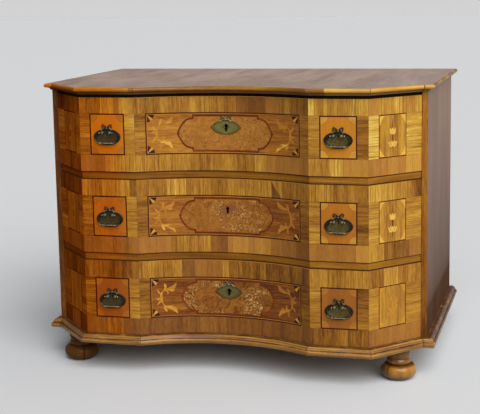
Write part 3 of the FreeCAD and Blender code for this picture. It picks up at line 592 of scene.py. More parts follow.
def veneer_paint(name, stops, roughness, swirl=0.4, spread=0.55, stripe=70.0, **sockets):
    """Veneer on the piece's own `grain` attribute: metres along the grain, across it, and a
    number that gives each leaf its own figure. `tone` shifts the leaf on the ramp."""
    paint = new_paint(name, roughness, **{"Specular_IOR_Level": 0.14, **sockets})
    grain, tone = attribute(paint, "grain", "Vector"), attribute(paint, "tone")
    band = noise(paint, grain, (3.0, stripe, 9.0), distortion=swirl)
    line = noise(paint, grain, (9.0, stripe * 6, 9.0), distortion=swirl / 2)
    pore = noise(paint, grain, (60.0, 1400.0, 9.0), detail=1.0)
    broad = noise(paint, grain, (5.0, 14.0, 9.0), detail=2.0)
    fleck = noise(paint, grain, (42.0, 330.0, 9.0), detail=2.0)
    value = total(paint, tone, (band, spread), (line, spread * 0.6), (pore, 0.12),
                  (broad, spread * 0.6), (fleck, spread * 0.85))
    feed(paint, ramp(paint, value, stops))
    set_bump(paint, total(paint, 0.5, (pore, 0.5), (line, 0.3), (broad, 0.6)), 0.00025)
    feed(paint, linear(paint, broad, 0.2, roughness - 0.1), "Roughness")
    return paint


BLEACHED_WALNUT = shades((0.0, 110, 81, 67), (0.35, 150, 122, 106), (0.65, 177, 151, 135),
                         (1.0, 200, 180, 163))
shells, grains, tones = top_leaves()
bleach_and_light = veneer_paint("bleached_top_veneer", BLEACHED_WALNUT, 0.36, stripe=15.0, spread=0.65,
                        Specular_IOR_Level=0.3)
make_piece("top_veneer", "case", "top_veneer", bleach_and_light, shells, grain=grains, tone=tones)
dress(wood_paint("top_boards", FADED_WALNUT, 0, 0.5), "top_board")

# ---------------------------------------------------------------------------------------------
# Facing strips on the front edges of the side panels, golden walnut with upright grain that the
# light hasn't bleached.

FACING_WALNUT = shades((0.0, 84, 44, 12), (0.35, 138, 84, 26), (0.65, 172, 116, 38),
                       (1.0, 204, 154, 72))
FACING_INSET, FACING_FOOT, FACING_HEAD = 0.0002, 0.022, 0.0003
FACING_ROWS = 40
# The right strip is darker at its foot and lightest above the second height; the left one is
# painted dark all over, as shade.
DARK_FOOT, LIGHTEST_FROM = 0.12, 0.52

shells, grains, tones = [], [], []
low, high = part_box("side_panel_right")
for sign in SIDES.values():
    x = np.array([low.x + FACING_INSET, high.x - FACING_INSET])
    z = np.linspace(low.z + FACING_FOOT, high.z - FACING_HEAD, FACING_ROWS)[:, None]
    grid = stack(x, STILE_Y - TOP_VENEER, z)
    if sign < 0:
        grid = grid[:, ::-1] * np.array([-1, 1, 1])
    shells.append(closed_sheet(grid, grid + np.array([0, TOP_VENEER + VENEER_BED, 0])))
    x, _, z = shells[-1][0].T
    grains.append(stack(z, x, sign * 2.3))
    faded = np.clip((z - DARK_FOOT) / (LIGHTEST_FROM - DARK_FOOT), 0, 1)
    tones.append(0.15 + 0.35 * faded if sign > 0 else np.full(len(x), 0.05))
facing = veneer_paint("facing_walnut", FACING_WALNUT, 0.5, swirl=1.2, spread=0.7, stripe=60.0)
make_piece("stile_facings", "case", "moulding_walnut", facing, shells, grain=grains, tone=tones)

# ---------------------------------------------------------------------------------------------
# Veneer of the drawer fronts: leaves of plum and walnut sawn about a millimetre thick. Above
# and below the panels their grain is upright, beside the panels it is level, and neighbours
# differ in tone. Places on the front are given by s, the way along it from its middle, and z.

SAWN = 0.00025
SUNK = 0.0001
DRAWER_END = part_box("top_drawer_front")[1].x
HOLLOW_RUN = HOLLOW_RADIUS * math.asin(HOLLOW_HALF / HOLLOW_RADIUS)
CORNER_RUN = HOLLOW_RUN + FLAT_HALF - HOLLOW_HALF
END_RUN = CORNER_RUN + (DRAWER_END - FLAT_HALF) * WING_LENGTH / WING_WIDTH
GAP_BELOW = 0.0015
LONGEST_STEP = 0.012


def front_place(s, z, lift):
    """The point at s along the front and z up, lifted off it. In the hollow, at the angle
    a = s / R, it is (R sin a, centre + R cos a) and the way out is (-sin a, -cos a). Flats face
    -y, the wings face (depth, -width), and a corner lifts along its mitre."""
    s, z, lift = np.broadcast_arrays(np.asarray(s, float), z, lift)
    way, side = np.abs(s), np.where(s < 0, -1.0, 1.0)
    angle = way / HOLLOW_RADIUS
    x = HOLLOW_RADIUS * np.sin(angle)
    y = HOLLOW_CENTRE_Y + HOLLOW_RADIUS * np.cos(angle)
    out_x, out_y = -np.sin(angle), -np.cos(angle)
    flat = way > HOLLOW_RUN - 1e-7
    x, y = np.where(flat, HOLLOW_HALF + way - HOLLOW_RUN, x), np.where(flat, FLAT_Y, y)
    out_x, out_y = np.where(flat, 0.0, out_x), np.where(flat, -1.0, out_y)
    wing = way > CORNER_RUN + 1e-7
    past = (way - CORNER_RUN) / WING_LENGTH
    x = np.where(wing, FLAT_HALF + past * WING_WIDTH, x)
    y = np.where(wing, FLAT_Y + past * WING_DEPTH, y)
    out_x = np.where(wing, WING_DEPTH / WING_LENGTH, out_x)
    out_y = np.where(wing, -WING_WIDTH / WING_LENGTH, out_y)
    for corner, lean in ((HOLLOW_RUN, HOLLOW_LEAN), (CORNER_RUN, WING_LEAN)):
        mitred = np.abs(way - corner) < 1e-6
        out_x, out_y = np.where(mitred, lean, out_x), np.where(mitred, -1.0, out_y)
    return stack(side * (x + out_x * lift), y + out_y * lift, z)


class Leaves:
    """Thin pieces of one veneer, gathered for one mesh, with what their material reads."""

    def __init__(self):
        self.shells = []
        self.values = {key: [] for key in ("grain", "tone", "low", "high", "plum")}
        self.figure = 0

    def add(self, s, z, lift, tone=0.5, upright=True, thick=SAWN, matched=False, plum=False):
        """One leaf from two equal grids of s and z. Its face is `lift` off the front, its
        underside `thick` behind that. `low` and `high` hold the way to its four edges. A
        matched one carries on the figure of the leaf before it, and plum marks the wood."""
        s, z = np.broadcast_arrays(s, z)
        area = (s[0, -1] - s[0, 0]) * (z[-1, 0] - z[0, 0]) - (z[0, -1] - z[0, 0]) * (
            s[-1, 0] - s[0, 0])
        if area < 0:
            s, z = s[::-1], z[::-1]
        top, under = front_place(s, z, lift), front_place(s, z, lift - thick)
        self.shells.append(closed_sheet(top, under))
        self.figure += not matched
        seed = self.figure * 0.37
        s, z = np.tile(s.ravel(), 2), np.tile(z.ravel(), 2)
        along, across = (z, s) if upright else (s, z)
        for key, value in (
            ("grain", stack(along + seed * 5, across + seed * 3, seed)),
            ("tone", np.full(len(s), tone)),
            ("plum", np.full(len(s), float(plum))),
            ("low", stack(s - s.min(), z - z.min(), seed)),
            ("high", stack(s.max() - s, z.max() - z, seed)),
        ):
            self.values[key].append(value)

    def block(self, left, right, bottom, top, lift=SAWN, tone=0.5, upright=True, plum=False):
        """A rectangle, cut fine enough along s to follow the hollow."""
        columns = max(2, math.ceil((right - left) / LONGEST_STEP) + 1)
        s = np.linspace(left, right, columns)[None, :]
        z = np.array([bottom, top])[:, None]
        self.add(s, z, lift, tone, upright, lift + SUNK, plum=plum)

    def make(self, name, body, paint):
        """The mesh of all the leaves."""
        return make_piece(name, body, "front_veneer", paint, self.shells, **self.values)


WALNUT = shades((0.0, 84, 48, 16), (0.2, 122, 76, 22), (0.4, 154, 103, 34), (0.6, 176, 126, 44),
                (0.8, 196, 150, 56), (1.0, 220, 182, 86))
PLUM = shades((0.0, 100, 58, 24), (0.3, 140, 89, 36), (0.6, 168, 113, 46), (1.0, 198, 146, 58))


def jointed_paint():
    """The banding's veneer. Each leaf is walnut with dark growth lines, or plainer and redder
    plum where its `plum` is 1. Glue and dirt darken the joints: the distance to the nearest
    edge is the least of the four in `low` and `high`."""
    paint = veneer_paint("plum_and_walnut", WALNUT, 0.45, spread=0.75)
    along = attribute(paint, "grain", "Vector")
    soft = noise(paint, along, (4.0, 45.0, 9.0), detail=4.0, distortion=0.8)
    mottle = noise(paint, along, (60.0, 160.0, 9.0))
    tone = total(paint, attribute(paint, "tone"), (soft, 0.55), (mottle, 0.35))
    growth = noise(paint, along, (5.0, 330.0, 9.0), detail=1.0, distortion=0.6)
    tint(paint, between(paint, growth, 0.58, 0.68, 0.0, 0.6), srgb(100, 56, 14))
    tint(paint, attribute(paint, "plum"), ramp(paint, tone, PLUM))
    edges = [axes(paint, attribute(paint, key, "Vector")) for key in ("low", "high")]
    nearest = math_node(paint, "MINIMUM", *(edge[axis] for edge in edges for axis in "XY"))
    tint(paint, between(paint, nearest, 0.0002, 0.0009, 0.45, 0.0), srgb(74, 34, 14))
    return paint


# The banding takes painted shade towards the left end of each front.
banding_veneer = shade_left_end(jointed_paint())
PANEL_LOW, PANEL_HIGH = 0.051, 0.174
FLAT_PANEL = (0.304, 0.412)
WING_PANEL = (0.481, 0.582)
CENTRE_PANEL = 0.240
STRETCHES = (
    ("left wing", -END_RUN, -CORNER_RUN),
    ("left flat", -CORNER_RUN, -HOLLOW_RUN),
    ("hollow", -HOLLOW_RUN, HOLLOW_RUN),
    ("right flat", HOLLOW_RUN, CORNER_RUN),
    ("right wing", CORNER_RUN, END_RUN),
)
# Beside the panels: from, to and the tone of the level leaves.
PANEL_SIDES = (
    (CENTRE_PANEL, HOLLOW_RUN, 0.36),
    (HOLLOW_RUN, FLAT_PANEL[0], 0.60),
    (FLAT_PANEL[1], CORNER_RUN, 0.38),
    (CORNER_RUN, WING_PANEL[0], 0.70),
    (WING_PANEL[1], END_RUN, 0.66),
)
BAND_WIDTHS = (0.014, 0.060)
LEVEL_WIDTHS, LEAST_LEVEL = (0.03, 0.07), 0.025
# The share of plum in the lower band and its leaves' widths.
LOW_BAND = {"top": (0.6, BAND_WIDTHS), "middle": (0.6, BAND_WIDTHS),
            "bottom": (0.55, (0.045, 0.075))}
HIGH_BAND_PLUM = 0.15
# The hollow's banding is painted darker than the flats' and wings', as shade in its recess.
SHADED_HOLLOW_TONE, OUTER_TONE = 0.42, 0.52
DRAWER_TONE = {"top": 0.02, "middle": -0.04, "bottom": -0.12}
# Painted light on the right wing and the right flat, which face the light: their change of tone on
# each drawer.
RIGHT_WING_LIGHT = {"top": 0.13, "middle": 0.02, "bottom": -0.08}
RIGHT_FLAT_LIGHT = {"top": 0.12, "middle": 0.03, "bottom": 0.0}
LEFT_SHADE = {"top": 0.0, "middle": 0.16, "bottom": 0.10}
LOW_BAND_SHADE = {"top": 0.0, "middle": 0.02, "bottom": 0.14}
SHADED_WING = 0.12
TONE_KEPT, TONE_STEP = 0.45, 0.12
TONE_RANGE = (0.12, 0.9)
# A dark wedge let into the middle drawer's upper band: from its tip's s to its foot's far end.
REPAIR = (0.141, 0.173)
REPAIR_TIP, REPAIR_HEAD, REPAIR_PROUD, REPAIR_TONE = 0.001, 0.004, 0.00004, 0.1
rng = np.random.default_rng(17)


def upright_band(leaves, left, right, bottom, top, base, plum_share, widths=BAND_WIDTHS):
    """Upright leaves of uneven widths between two lines of s. Each tone is drawn near the one
    before it, t' = base + TONE_KEPT (t - base) + a normal step, and half the leaves or more are
    of the wood of the one before, so like leaves stand in groups."""
    tone, here, plum = base, left, rng.random() < plum_share
    while here < right - 1e-6:
        there = here + rng.uniform(*widths)
        if right - there < widths[0]:
            there = right
        tone = base + TONE_KEPT * (tone - base) + rng.normal(0, TONE_STEP)
        if rng.random() < 0.5:
            plum = rng.random() < plum_share
        leaves.block(here, there, bottom, top, tone=float(np.clip(tone, *TONE_RANGE)), plum=plum)
        here = there


def level_stack(leaves, left, right, bottom, top, base):
    """Leaves with level grain, one above the other."""
    here = bottom
    while here < top - 1e-6:
        there = here + rng.uniform(*LEVEL_WIDTHS)
        if top - there < LEAST_LEVEL:
            there = top
        leaves.block(left, right, here, there, tone=base + rng.uniform(-0.1, 0.1),
                     upright=False)
        here = there


def front_banding(name, floor, top):
    """Everything round the panels of one drawer front."""
    leaves = Leaves()
    shift = DRAWER_TONE[name]
    low, high = floor + PANEL_LOW, floor + PANEL_HIGH
    # Painted shade on the left wing, and painted light on the right flat and the right wing.
    change = {"left wing": -SHADED_WING, "right flat": RIGHT_FLAT_LIGHT[name],
              "right wing": RIGHT_WING_LIGHT[name]}
    for place, left, right in STRETCHES:
        base = (SHADED_HOLLOW_TONE if place == "hollow" else OUTER_TONE) + shift + change.get(place, 0)
        upright_band(leaves, left, right, floor + GAP_BELOW, low,
                     base - LOW_BAND_SHADE[name], *LOW_BAND[name])
        base -= LEFT_SHADE[name] if place == "left flat" else 0
        upright_band(leaves, left, right, high, top, base, HIGH_BAND_PLUM)
    for left, right, base in PANEL_SIDES:
        # The right wing's level leaves take its painted light, and the left wing's the painted
        # shade.
        shaded, bleach_and_light = (SHADED_WING, RIGHT_WING_LIGHT[name]) if left >= CORNER_RUN else (0, 0)
        level_stack(leaves, left, right, low, high, base + shift + bleach_and_light)
        level_stack(leaves, -right, -left, low, high, base + shift - shaded)
    if name == "middle":
        wedge = np.array([REPAIR, (REPAIR[0] - REPAIR_TIP, REPAIR[0] + REPAIR_TIP)])
        leaves.add(wedge, np.array([[high], [top - REPAIR_HEAD]]), SAWN + REPAIR_PROUD,
                   REPAIR_TONE, plum=True)
    leaves.make(f"{name}_banding", f"{name}_drawer", banding_veneer)


floors, tops = {}, {}
for name in DRAWERS:
    low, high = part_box(f"{name}_drawer_front")
    floors[name], tops[name] = low.z - GAP_BELOW, high.z
    front_banding(name, floors[name], tops[name])

# ---------------------------------------------------------------------------------------------
# The panels let into the banding: a plain leaf behind each pull, a striped one on each wing
# and a long one in the hollow, pierced for the key. Each is edged by a dark string.

KEY_HEIGHT = 0.134
KEYHOLE_RADIUS = 0.005
KEYHOLE_SLOT = 0.003
KEYHOLE_DROP = 0.015
STRING = 0.0036
WING_STRING = STRING * 0.7
FINE_STRING = 0.0011
PANEL_LIFT = 0.00027
STRING_LIFT = 0.0004
PIERCED_STEP = 0.008
RIGHT_FALL = 0.16


def keyhole_span(s):
    """Lowest and highest z of the keyhole at s, from the centre of its round part: the circle
    sqrt(r^2 - s^2) either way, and the slot's foot where |s| is within the slot."""
    rise = np.sqrt(np.maximum(KEYHOLE_RADIUS ** 2 - s ** 2, 0))
    return np.where(np.abs(s) <= KEYHOLE_SLOT + 1e-9, -KEYHOLE_DROP, -rise), rise


def pierced(leaves, left, right, bottom, top, key_z, lift, tone, fall=0.0):
    """A leaf between the curves bottom(s) and top(s), in columns, left open at the keyhole:
    z = bottom + (top - bottom) t beside it, and shorter columns below and above it. The tone
    falls to the right of the keyhole."""
    lines = np.linspace(left, right, max(3, math.ceil((right - left) / PIERCED_STEP) + 1))
    edge, inner = KEYHOLE_RADIUS, KEYHOLE_SLOT
    share = np.array([[0.0], [1.0]])
    beside = [np.append(lines[lines < -edge - 1e-4], -edge),
              np.insert(lines[lines > edge + 1e-4], 0, edge)]
    for number, s in enumerate(beside):
        leaves.add(s[None, :], bottom(s) + (top(s) - bottom(s)) * share, lift,
                   tone - number * fall, upright=False, thick=lift + SUNK, matched=number > 0)
    s = np.concatenate([np.linspace(-edge, -inner - 1e-6, 6), np.linspace(-inner, inner, 7),
                        np.linspace(inner + 1e-6, edge, 6)])
    low, high = keyhole_span(s)
    for start, height in ((bottom(s), key_z + low - bottom(s)),
                          (key_z + high, top(s) - key_z - high)):
        leaves.add(s[None, :], start + height * share, lift, tone, upright=False,
                   thick=lift + SUNK, matched=True)


def level(z):
    """A straight edge at one height."""
    return lambda s: np.full(np.shape(s), z)


PULL_TONE = {"top": 0.55, "middle": 0.28, "bottom": 0.02}
PULL_PANEL_WOOD = shades((0.0, 142, 84, 32), (0.4, 182, 112, 28), (0.7, 194, 128, 36),
                         (1.0, 206, 146, 48))
WING_WOOD = shades((0.0, 100, 58, 26), (0.35, 146, 96, 36), (0.6, 178, 128, 42),
                   (1.0, 206, 160, 60))
CENTRE_WOOD = shades((0.0, 86, 40, 14), (0.35, 132, 76, 26), (0.65, 168, 110, 36),
                     (1.0, 196, 142, 54))
CENTRE_TONE = {"top": 0.58, "middle": 0.50, "bottom": 0.32}
STRING_WOOD = shades((0.0, 34, 7, 3), (0.6, 62, 16, 6), (1.0, 100, 38, 16))
pull_panel_veneer = veneer_paint("pull_panel_veneer", PULL_PANEL_WOOD, 0.4, spread=0.3,
                                 stripe=30.0)
wing_panel_veneer = veneer_paint("wing_panel_veneer", WING_WOOD, 0.4, spread=0.75, stripe=75.0)
centre_panel_veneer = veneer_paint("centre_panel_veneer", CENTRE_WOOD, 0.4, spread=0.85,
                                   stripe=60.0, swirl=0.9)
dark_string_wood = veneer_paint("dark_string_wood", STRING_WOOD, 0.45, spread=0.4)
# These three veneers take painted shade towards the left end of each front.
for veneer in (pull_panel_veneer, wing_panel_veneer, dark_string_wood):
    shade_left_end(veneer)


def frame_strings(leaves, left, right, bottom, top, width, lift, tone=0.5):
    """Four strips round the inside of a rectangle."""
    for low, high in ((bottom, bottom + width), (top - width, top)):
        leaves.block(left, right, low, high, lift, tone, upright=False)
    for low, high in ((left, left + width), (right - width, right)):
        leaves.block(low, high, bottom + width, top - width, lift, tone)


for name in DRAWERS:
    low, high = floors[name] + PANEL_LOW, floors[name] + PANEL_HIGH
    key_z = floors[name] + KEY_HEIGHT
    pulls, wings, centre, strings = (Leaves() for _ in range(4))
    for sign in (-1, 1):
        left, right = sorted(sign * s for s in FLAT_PANEL)
        pulls.block(left, right, low, high, PANEL_LIFT, PULL_TONE[name])
        frame_strings(strings, left, right, low, high, STRING, STRING_LIFT)
        left, right = sorted(sign * s for s in WING_PANEL)
        wings.block(left, right, low, high, PANEL_LIFT, 0.55 if sign > 0 else 0.55 - SHADED_WING)
        frame_strings(strings, left, right, low, high, WING_STRING, STRING_LIFT, 0.7)
    pierced(centre, -CENTRE_PANEL, CENTRE_PANEL, level(low), level(high), key_z, PANEL_LIFT,
            CENTRE_TONE[name], RIGHT_FALL)
    frame_strings(strings, -CENTRE_PANEL, CENTRE_PANEL, low, high, STRING, STRING_LIFT)
    for leaves, part, veneer in (
        (pulls, "pull_panels", pull_panel_veneer), (wings, "wing_panels", wing_panel_veneer),
        (centre, "centre_panel", centre_panel_veneer), (strings, "dark_strings", dark_string_wood),
    ):
        leaves.make(f"{name}_{part}", f"{name}_drawer", veneer)

# ---------------------------------------------------------------------------------------------
# The cartouche in the hollow: a burr leaf edged with plum. Its long edges are straight, a small
# step turns in at each end of them, and two round shoulders meet in a point.

CARTOUCHE_STRAIGHT = 0.1016
CARTOUCHE_TIP = 0.148
CARTOUCHE_MARGIN = 0.0025
CARTOUCHE_STEP = 0.009
CARTOUCHE_EDGE = 0.0060
BURR_LIFT = 0.00034
EDGE_LIFT = 0.00046
BURR_INSET = 0.001
GHOST_HALF = (0.036, 0.017)


def cartouche_half(s, inset=0.0):
    """Half the height of the cartouche at s: level over the straight part, then a step, and a
    shoulder h (1 - u^2.5) where u runs from 0 at the step to 1 at the point."""
    half = (PANEL_HIGH - PANEL_LOW) / 2 - STRING - CARTOUCHE_MARGIN
    way = np.abs(s)
    u = np.clip((way - CARTOUCHE_STRAIGHT) / (CARTOUCHE_TIP - CARTOUCHE_STRAIGHT), 0, 1)
    shoulder = (half - CARTOUCHE_STEP) * (1 - u ** 2.5)
    return np.where(way <= CARTOUCHE_STRAIGHT, half, shoulder) - inset


def cartouche_edge(leaves, middle, sign_s, sign_z):
    """A quarter of the edging: the straight strip, the step, and the shoulder, whose strip lies
    between the shoulder and itself moved in along its normal."""
    half = cartouche_half(0.0)
    straight = np.linspace(0, CARTOUCHE_STRAIGHT, 14)
    strip = np.array([half - CARTOUCHE_EDGE, half])[:, None]
    leaves.add(sign_s * straight[None, :], middle + sign_z * strip, EDGE_LIFT, upright=False)
    step = CARTOUCHE_STRAIGHT + np.array([-CARTOUCHE_EDGE * 0.7, 0.0012])
    foot = np.array([half - CARTOUCHE_STEP - CARTOUCHE_EDGE * 0.8, half - CARTOUCHE_EDGE])
    leaves.add(sign_s * step[None, :], middle + sign_z * foot[:, None], EDGE_LIFT, tone=0.4)
    s = np.linspace(CARTOUCHE_STRAIGHT, CARTOUCHE_TIP, 22)
    z = cartouche_half(s + 1e-7)
    ds, dz = np.gradient(s), np.gradient(z)
    size = np.hypot(ds, dz)
    width = CARTOUCHE_EDGE * np.linspace(1.0, 0.8, len(s))
    inner_s, inner_z = s + dz / size * width, np.maximum(z - ds / size * width, 0)
    inner_s[-1], inner_z[-1] = CARTOUCHE_TIP - CARTOUCHE_EDGE * 1.6, 0.0
    leaves.add(sign_s * np.stack([inner_s, s]), middle + sign_z * np.stack([inner_z, z]),
               EDGE_LIFT, tone=0.55, upright=False)


BURR = shades((0.0, 92, 48, 12), (0.3, 142, 86, 28), (0.6, 166, 108, 40), (0.85, 182, 128, 54),
              (1.0, 204, 158, 84))
EDGING = shades((0.0, 62, 18, 6), (0.5, 100, 40, 12), (1.0, 148, 80, 32))


def burr_paint(name, tone, pitting, pale, sound_from=-1.0, ghost=None):
    """Burr: a noise bent by itself for the cloudy figure, and crumbled places, in patches where a
    broad noise is high and to the right of x = sound_from, with pale fills and dark pits. A
    ghost is the darker oval that a lost key plate of half size (w, h) left:
    (x / w)^2 + ((z - z0) / h)^2 < 1."""
    paint = new_paint(name, 0.5, Specular_IOR_Level=0.14)
    grain, place = attribute(paint, "grain", "Vector"), axes(paint)
    cloud = noise(paint, grain, 24.0, detail=6.0, rough=0.62, distortion=2.2)
    curl = noise(paint, grain, 90.0, distortion=3.0)
    feed(paint, ramp(paint, total(paint, tone, (cloud, 1.1), (curl, 0.45)), BURR))
    if ghost:
        across = math_node(paint, "MULTIPLY", place["X"], 1 / GHOST_HALF[0])
        up = math_node(paint, "SUBTRACT", place["Z"], ghost)
        up = math_node(paint, "MULTIPLY", up, 1 / GHOST_HALF[1])
        away = linear(paint, across, across, math_node(paint, "MULTIPLY", up, up))
        tint(paint, between(paint, away, 0.8, 1.1, 0.75, 0.0), srgb(122, 74, 40))
    patches = between(paint, noise(paint, grain, 15.0, rough=0.6), 0.43, 0.54)
    beside = between(paint, place["X"], sound_from, sound_from + 0.03, 0.15)
    patches = math_node(paint, "MULTIPLY", patches, beside)
    for scale, strength, threshold, colour in (
        (230.0, pale, 0.53, srgb(210, 162, 92)),
        (190.0, pitting, 0.57, srgb(84, 44, 16)),
        (330.0, pitting * 0.8, 0.60, srgb(58, 36, 16)),
        (70.0, pale * 0.8, 0.60, srgb(204, 170, 104)),
        (95.0, max(0.0, pitting - 0.25), 0.63, srgb(44, 38, 20)),
    ):
        speck = noise(paint, grain, scale, detail=2.0, rough=0.6)
        speck = between(paint, speck, threshold, threshold + 0.05, 0.0, strength)
        tint(paint, math_node(paint, "MULTIPLY", speck, patches), colour)
    cells = node(paint, "TexVoronoi", {"Vector": grain, "Scale": 75.0, "Randomness": 1.0})
    eyes = min(1.0, pitting + 0.2)
    tint(paint, between(paint, cells.outputs["Distance"], 0.05, 0.16, eyes, 0.0),
         srgb(88, 44, 14))
    set_bump(paint, total(paint, 0.5, (curl, 0.6), (cloud, 0.5)), 0.0004)
    return paint


burr_finish = {
    "top": burr_paint("burr_sound", 0.5, 0.4, 0.2),
    "middle": burr_paint("burr_crumbling", 0.32, 0.7, 0.5, -0.06,
                         floors["middle"] + KEY_HEIGHT - 0.004),
    "bottom": burr_paint("burr_patched", 0.18, 0.9, 0.72),
}
edging_wood = veneer_paint("plum_edging", EDGING, 0.42, spread=0.6, stripe=30.0)
for name in DRAWERS:
    middle = floors[name] + (PANEL_LOW + PANEL_HIGH) / 2
    key_z = floors[name] + KEY_HEIGHT
    burr, edging = Leaves(), Leaves()
    pierced(burr, -CARTOUCHE_STRAIGHT, CARTOUCHE_STRAIGHT,
            lambda s: middle - cartouche_half(s, BURR_INSET),
            lambda s: middle + cartouche_half(s, BURR_INSET), key_z, BURR_LIFT, 0.5)
    u = np.linspace(0.0, 1.0, 20)[None, :]
    for sign in (-1, 1):
        s = CARTOUCHE_STRAIGHT + 1e-7 + u * (CARTOUCHE_TIP - CARTOUCHE_STRAIGHT - 0.002)
        half = np.maximum(cartouche_half(s, BURR_INSET), 0.0001)
        burr.add(sign * s, middle + half * np.array([-1, 1])[:, None], BURR_LIFT, upright=False,
                 thick=BURR_LIFT + SUNK, matched=True)
        for sign_z in (-1, 1):
            cartouche_edge(edging, middle, sign, sign_z)
    burr.make(f"{name}_burr", f"{name}_drawer", burr_finish[name])
    edging.make(f"{name}_cartouche_edge", f"{name}_drawer", edging_wood)

# ---------------------------------------------------------------------------------------------
# Inlays in pale and dark wood, cut with a fretsaw and let into the panels: darts in the corners
# of the long panel, a scroll at each end of it, quarter fans round the pulls, and cut corners
# with two tulips on a stem on the wings. Hot sand has shaded some of them.

INLAY_LIFT = 0.00042
OVERLAP = 0.00003  # what a piece that crosses another stands above it
DART = 0.023
# A dart's outline from its level end to its upright one, in shares of its length.
DART_POINTS = ((1, 0), (0.80, 0.50), (0.50, 0.80), (0, 1))
DART_TONES = (0.25, 0.45, 0.6)
FAN_START, FAN_RADIUS, FAN_EDGE = 0.0004, 0.021, 0.0007
CUT_CORNER = (0.021, 0.027)
# The height of the painted highlight along each front's top arris.
ARRIS_HIGHLIGHT = 0.0014


def smooth_path(points, count):
    """A Catmull-Rom curve through points (s, z): on each stretch
    p = (2 b + (c - a) t + (2 a - 5 b + 4 c - d) t^2 + (3 b - a - 3 c + d) t^3) / 2."""
    points = np.asarray(points, float)
    ends = 2 * points[0] - points[1], 2 * points[-1] - points[-2]
    held = np.vstack([ends[0], points, ends[1]])
    place = np.linspace(0, len(points) - 1 - 1e-9, count)
    here = place.astype(int)
    t = (place - here)[:, None]
    a, b, c, d = (held[here + shift] for shift in range(4))
    return (2 * b + (c - a) * t + (2 * a - 5 * b + 4 * c - d) * t ** 2
            + (3 * b - a - 3 * c + d) * t ** 3) / 2


def leaf_strip(leaves, points, width, sign, origin, tone, swell=0.5, lift=INLAY_LIFT, count=15):
    """A strip along a path, pointed at both ends: half width = w sin(pi t^k), widest where
    t^k is a half. sign mirrors it in s, and origin is its (s, z)."""
    path = smooth_path(points, count)
    t = np.linspace(0.02, 0.98, count)
    half = width / 2 * np.sin(math.pi * t ** (math.log(0.5) / math.log(swell))) + 0.00005
    along = np.gradient(path, axis=0)
    normal = stack(-along[:, 1], along[:, 0])
    normal /= np.linalg.norm(normal, axis=1, keepdims=True)
    side = np.array([-1, 0, 1])[:, None, None] * half[None, :, None] * normal[None]
    grid = path[None] + side
    leaves.add(sign * (origin[0] + grid[..., 0]), origin[1] + grid[..., 1], lift, tone,
               upright=False)


def corner_piece(leaves, corner, first, second, tone):
    """A triangle from a corner to two points, as a grid with one short end."""
    far = np.stack([first, second])
    grid = np.stack([corner + (far - corner) * 0.02, far])
    leaves.add(grid[..., 0], grid[..., 1], INLAY_LIFT, tone, upright=False)


def fan(leaves, corner, turn_s, turn_z, inner, outer, tone):
    """A quarter ring about a corner: (s, z) = corner + r (cos a, sin a)."""
    angle = np.linspace(0, math.pi / 2, 10)[None, :]
    radius = np.array([inner, outer])[:, None]
    leaves.add(corner[0] + turn_s * radius * np.cos(angle),
               corner[1] + turn_z * radius * np.sin(angle), INLAY_LIFT, tone, upright=False)


def cut_corner(leaves, corner, turn_s, turn_z, tone):
    """A corner cut off by a hollow line, h (1 - u)^1.5 while s runs the width."""
    u = np.linspace(0.0, 1.0, 9)
    edge = np.maximum(CUT_CORNER[1] * (1 - u) ** 1.5, 0.0001)
    s = corner[0] + turn_s * u * CUT_CORNER[0]
    leaves.add(s[None, :], corner[1] + turn_z * np.stack([np.zeros(9), edge]), INLAY_LIFT, tone,
               upright=False)


# A scroll's leaves, the stalk first: points (s, z) from the panel's middle, width, and where
# along it the leaf is widest.
SCROLL = [
    ([(0.198, 0.026), (0.205, 0.013), (0.207, 0.001), (0.206, -0.012), (0.200, -0.023)],
     0.0085, 0.5),
    ([(0.203, 0.020), (0.192, 0.029), (0.177, 0.032), (0.166, 0.040), (0.158, 0.051)],
     0.0125, 0.62),
    ([(0.204, -0.016), (0.194, -0.023), (0.181, -0.025), (0.169, -0.031), (0.160, -0.045)],
     0.0135, 0.62),
    ([(0.181, 0.031), (0.170, 0.033), (0.160, 0.038)], 0.0080, 0.5),
    ([(0.184, -0.024), (0.174, -0.020), (0.166, -0.023)], 0.0085, 0.5),
    ([(0.201, 0.021), (0.196, 0.034), (0.190, 0.045)], 0.0085, 0.6),
    ([(0.200, -0.020), (0.194, -0.031), (0.196, -0.043)], 0.0085, 0.6),
    ([(0.206, 0.000), (0.214, 0.005), (0.224, 0.003)], 0.0085, 0.5),
    ([(0.205, 0.008), (0.213, 0.015), (0.220, 0.024)], 0.0060, 0.55),
    ([(0.206, -0.008), (0.213, -0.015), (0.220, -0.025)], 0.0065, 0.55),
    ([(0.199, -0.021), (0.190, -0.019), (0.186, -0.012), (0.191, -0.008)], 0.0060, 0.4),
]
SCROLL_WIDTH = 0.88
LOW_LEAF, LOW_LEAF_PALER = 0.044, 0.28
TULIP_SIZE = 0.86


def scroll(leaves, middle, sign, turn, tone):
    """A leafy scroll at one end of the long panel, turned over when turn is -1. The leaf that
    hangs lowest is the palest."""
    for number, (points, width, swell) in enumerate(SCROLL):
        path = [(s, turn * z) for s, z in points]
        pale = LOW_LEAF_PALER if path[-1][1] < -LOW_LEAF else 0
        leaf_strip(leaves, path, width * SCROLL_WIDTH, sign, (0, middle),
                   tone + pale + rng.uniform(-0.2, 0.12), swell,
                   INLAY_LIFT + OVERLAP * (number > 2), 19)


def mirrored(points, width):
    """A leaf and its mirror image."""
    return (points, width), ([(-s, z) for s, z in points], width)


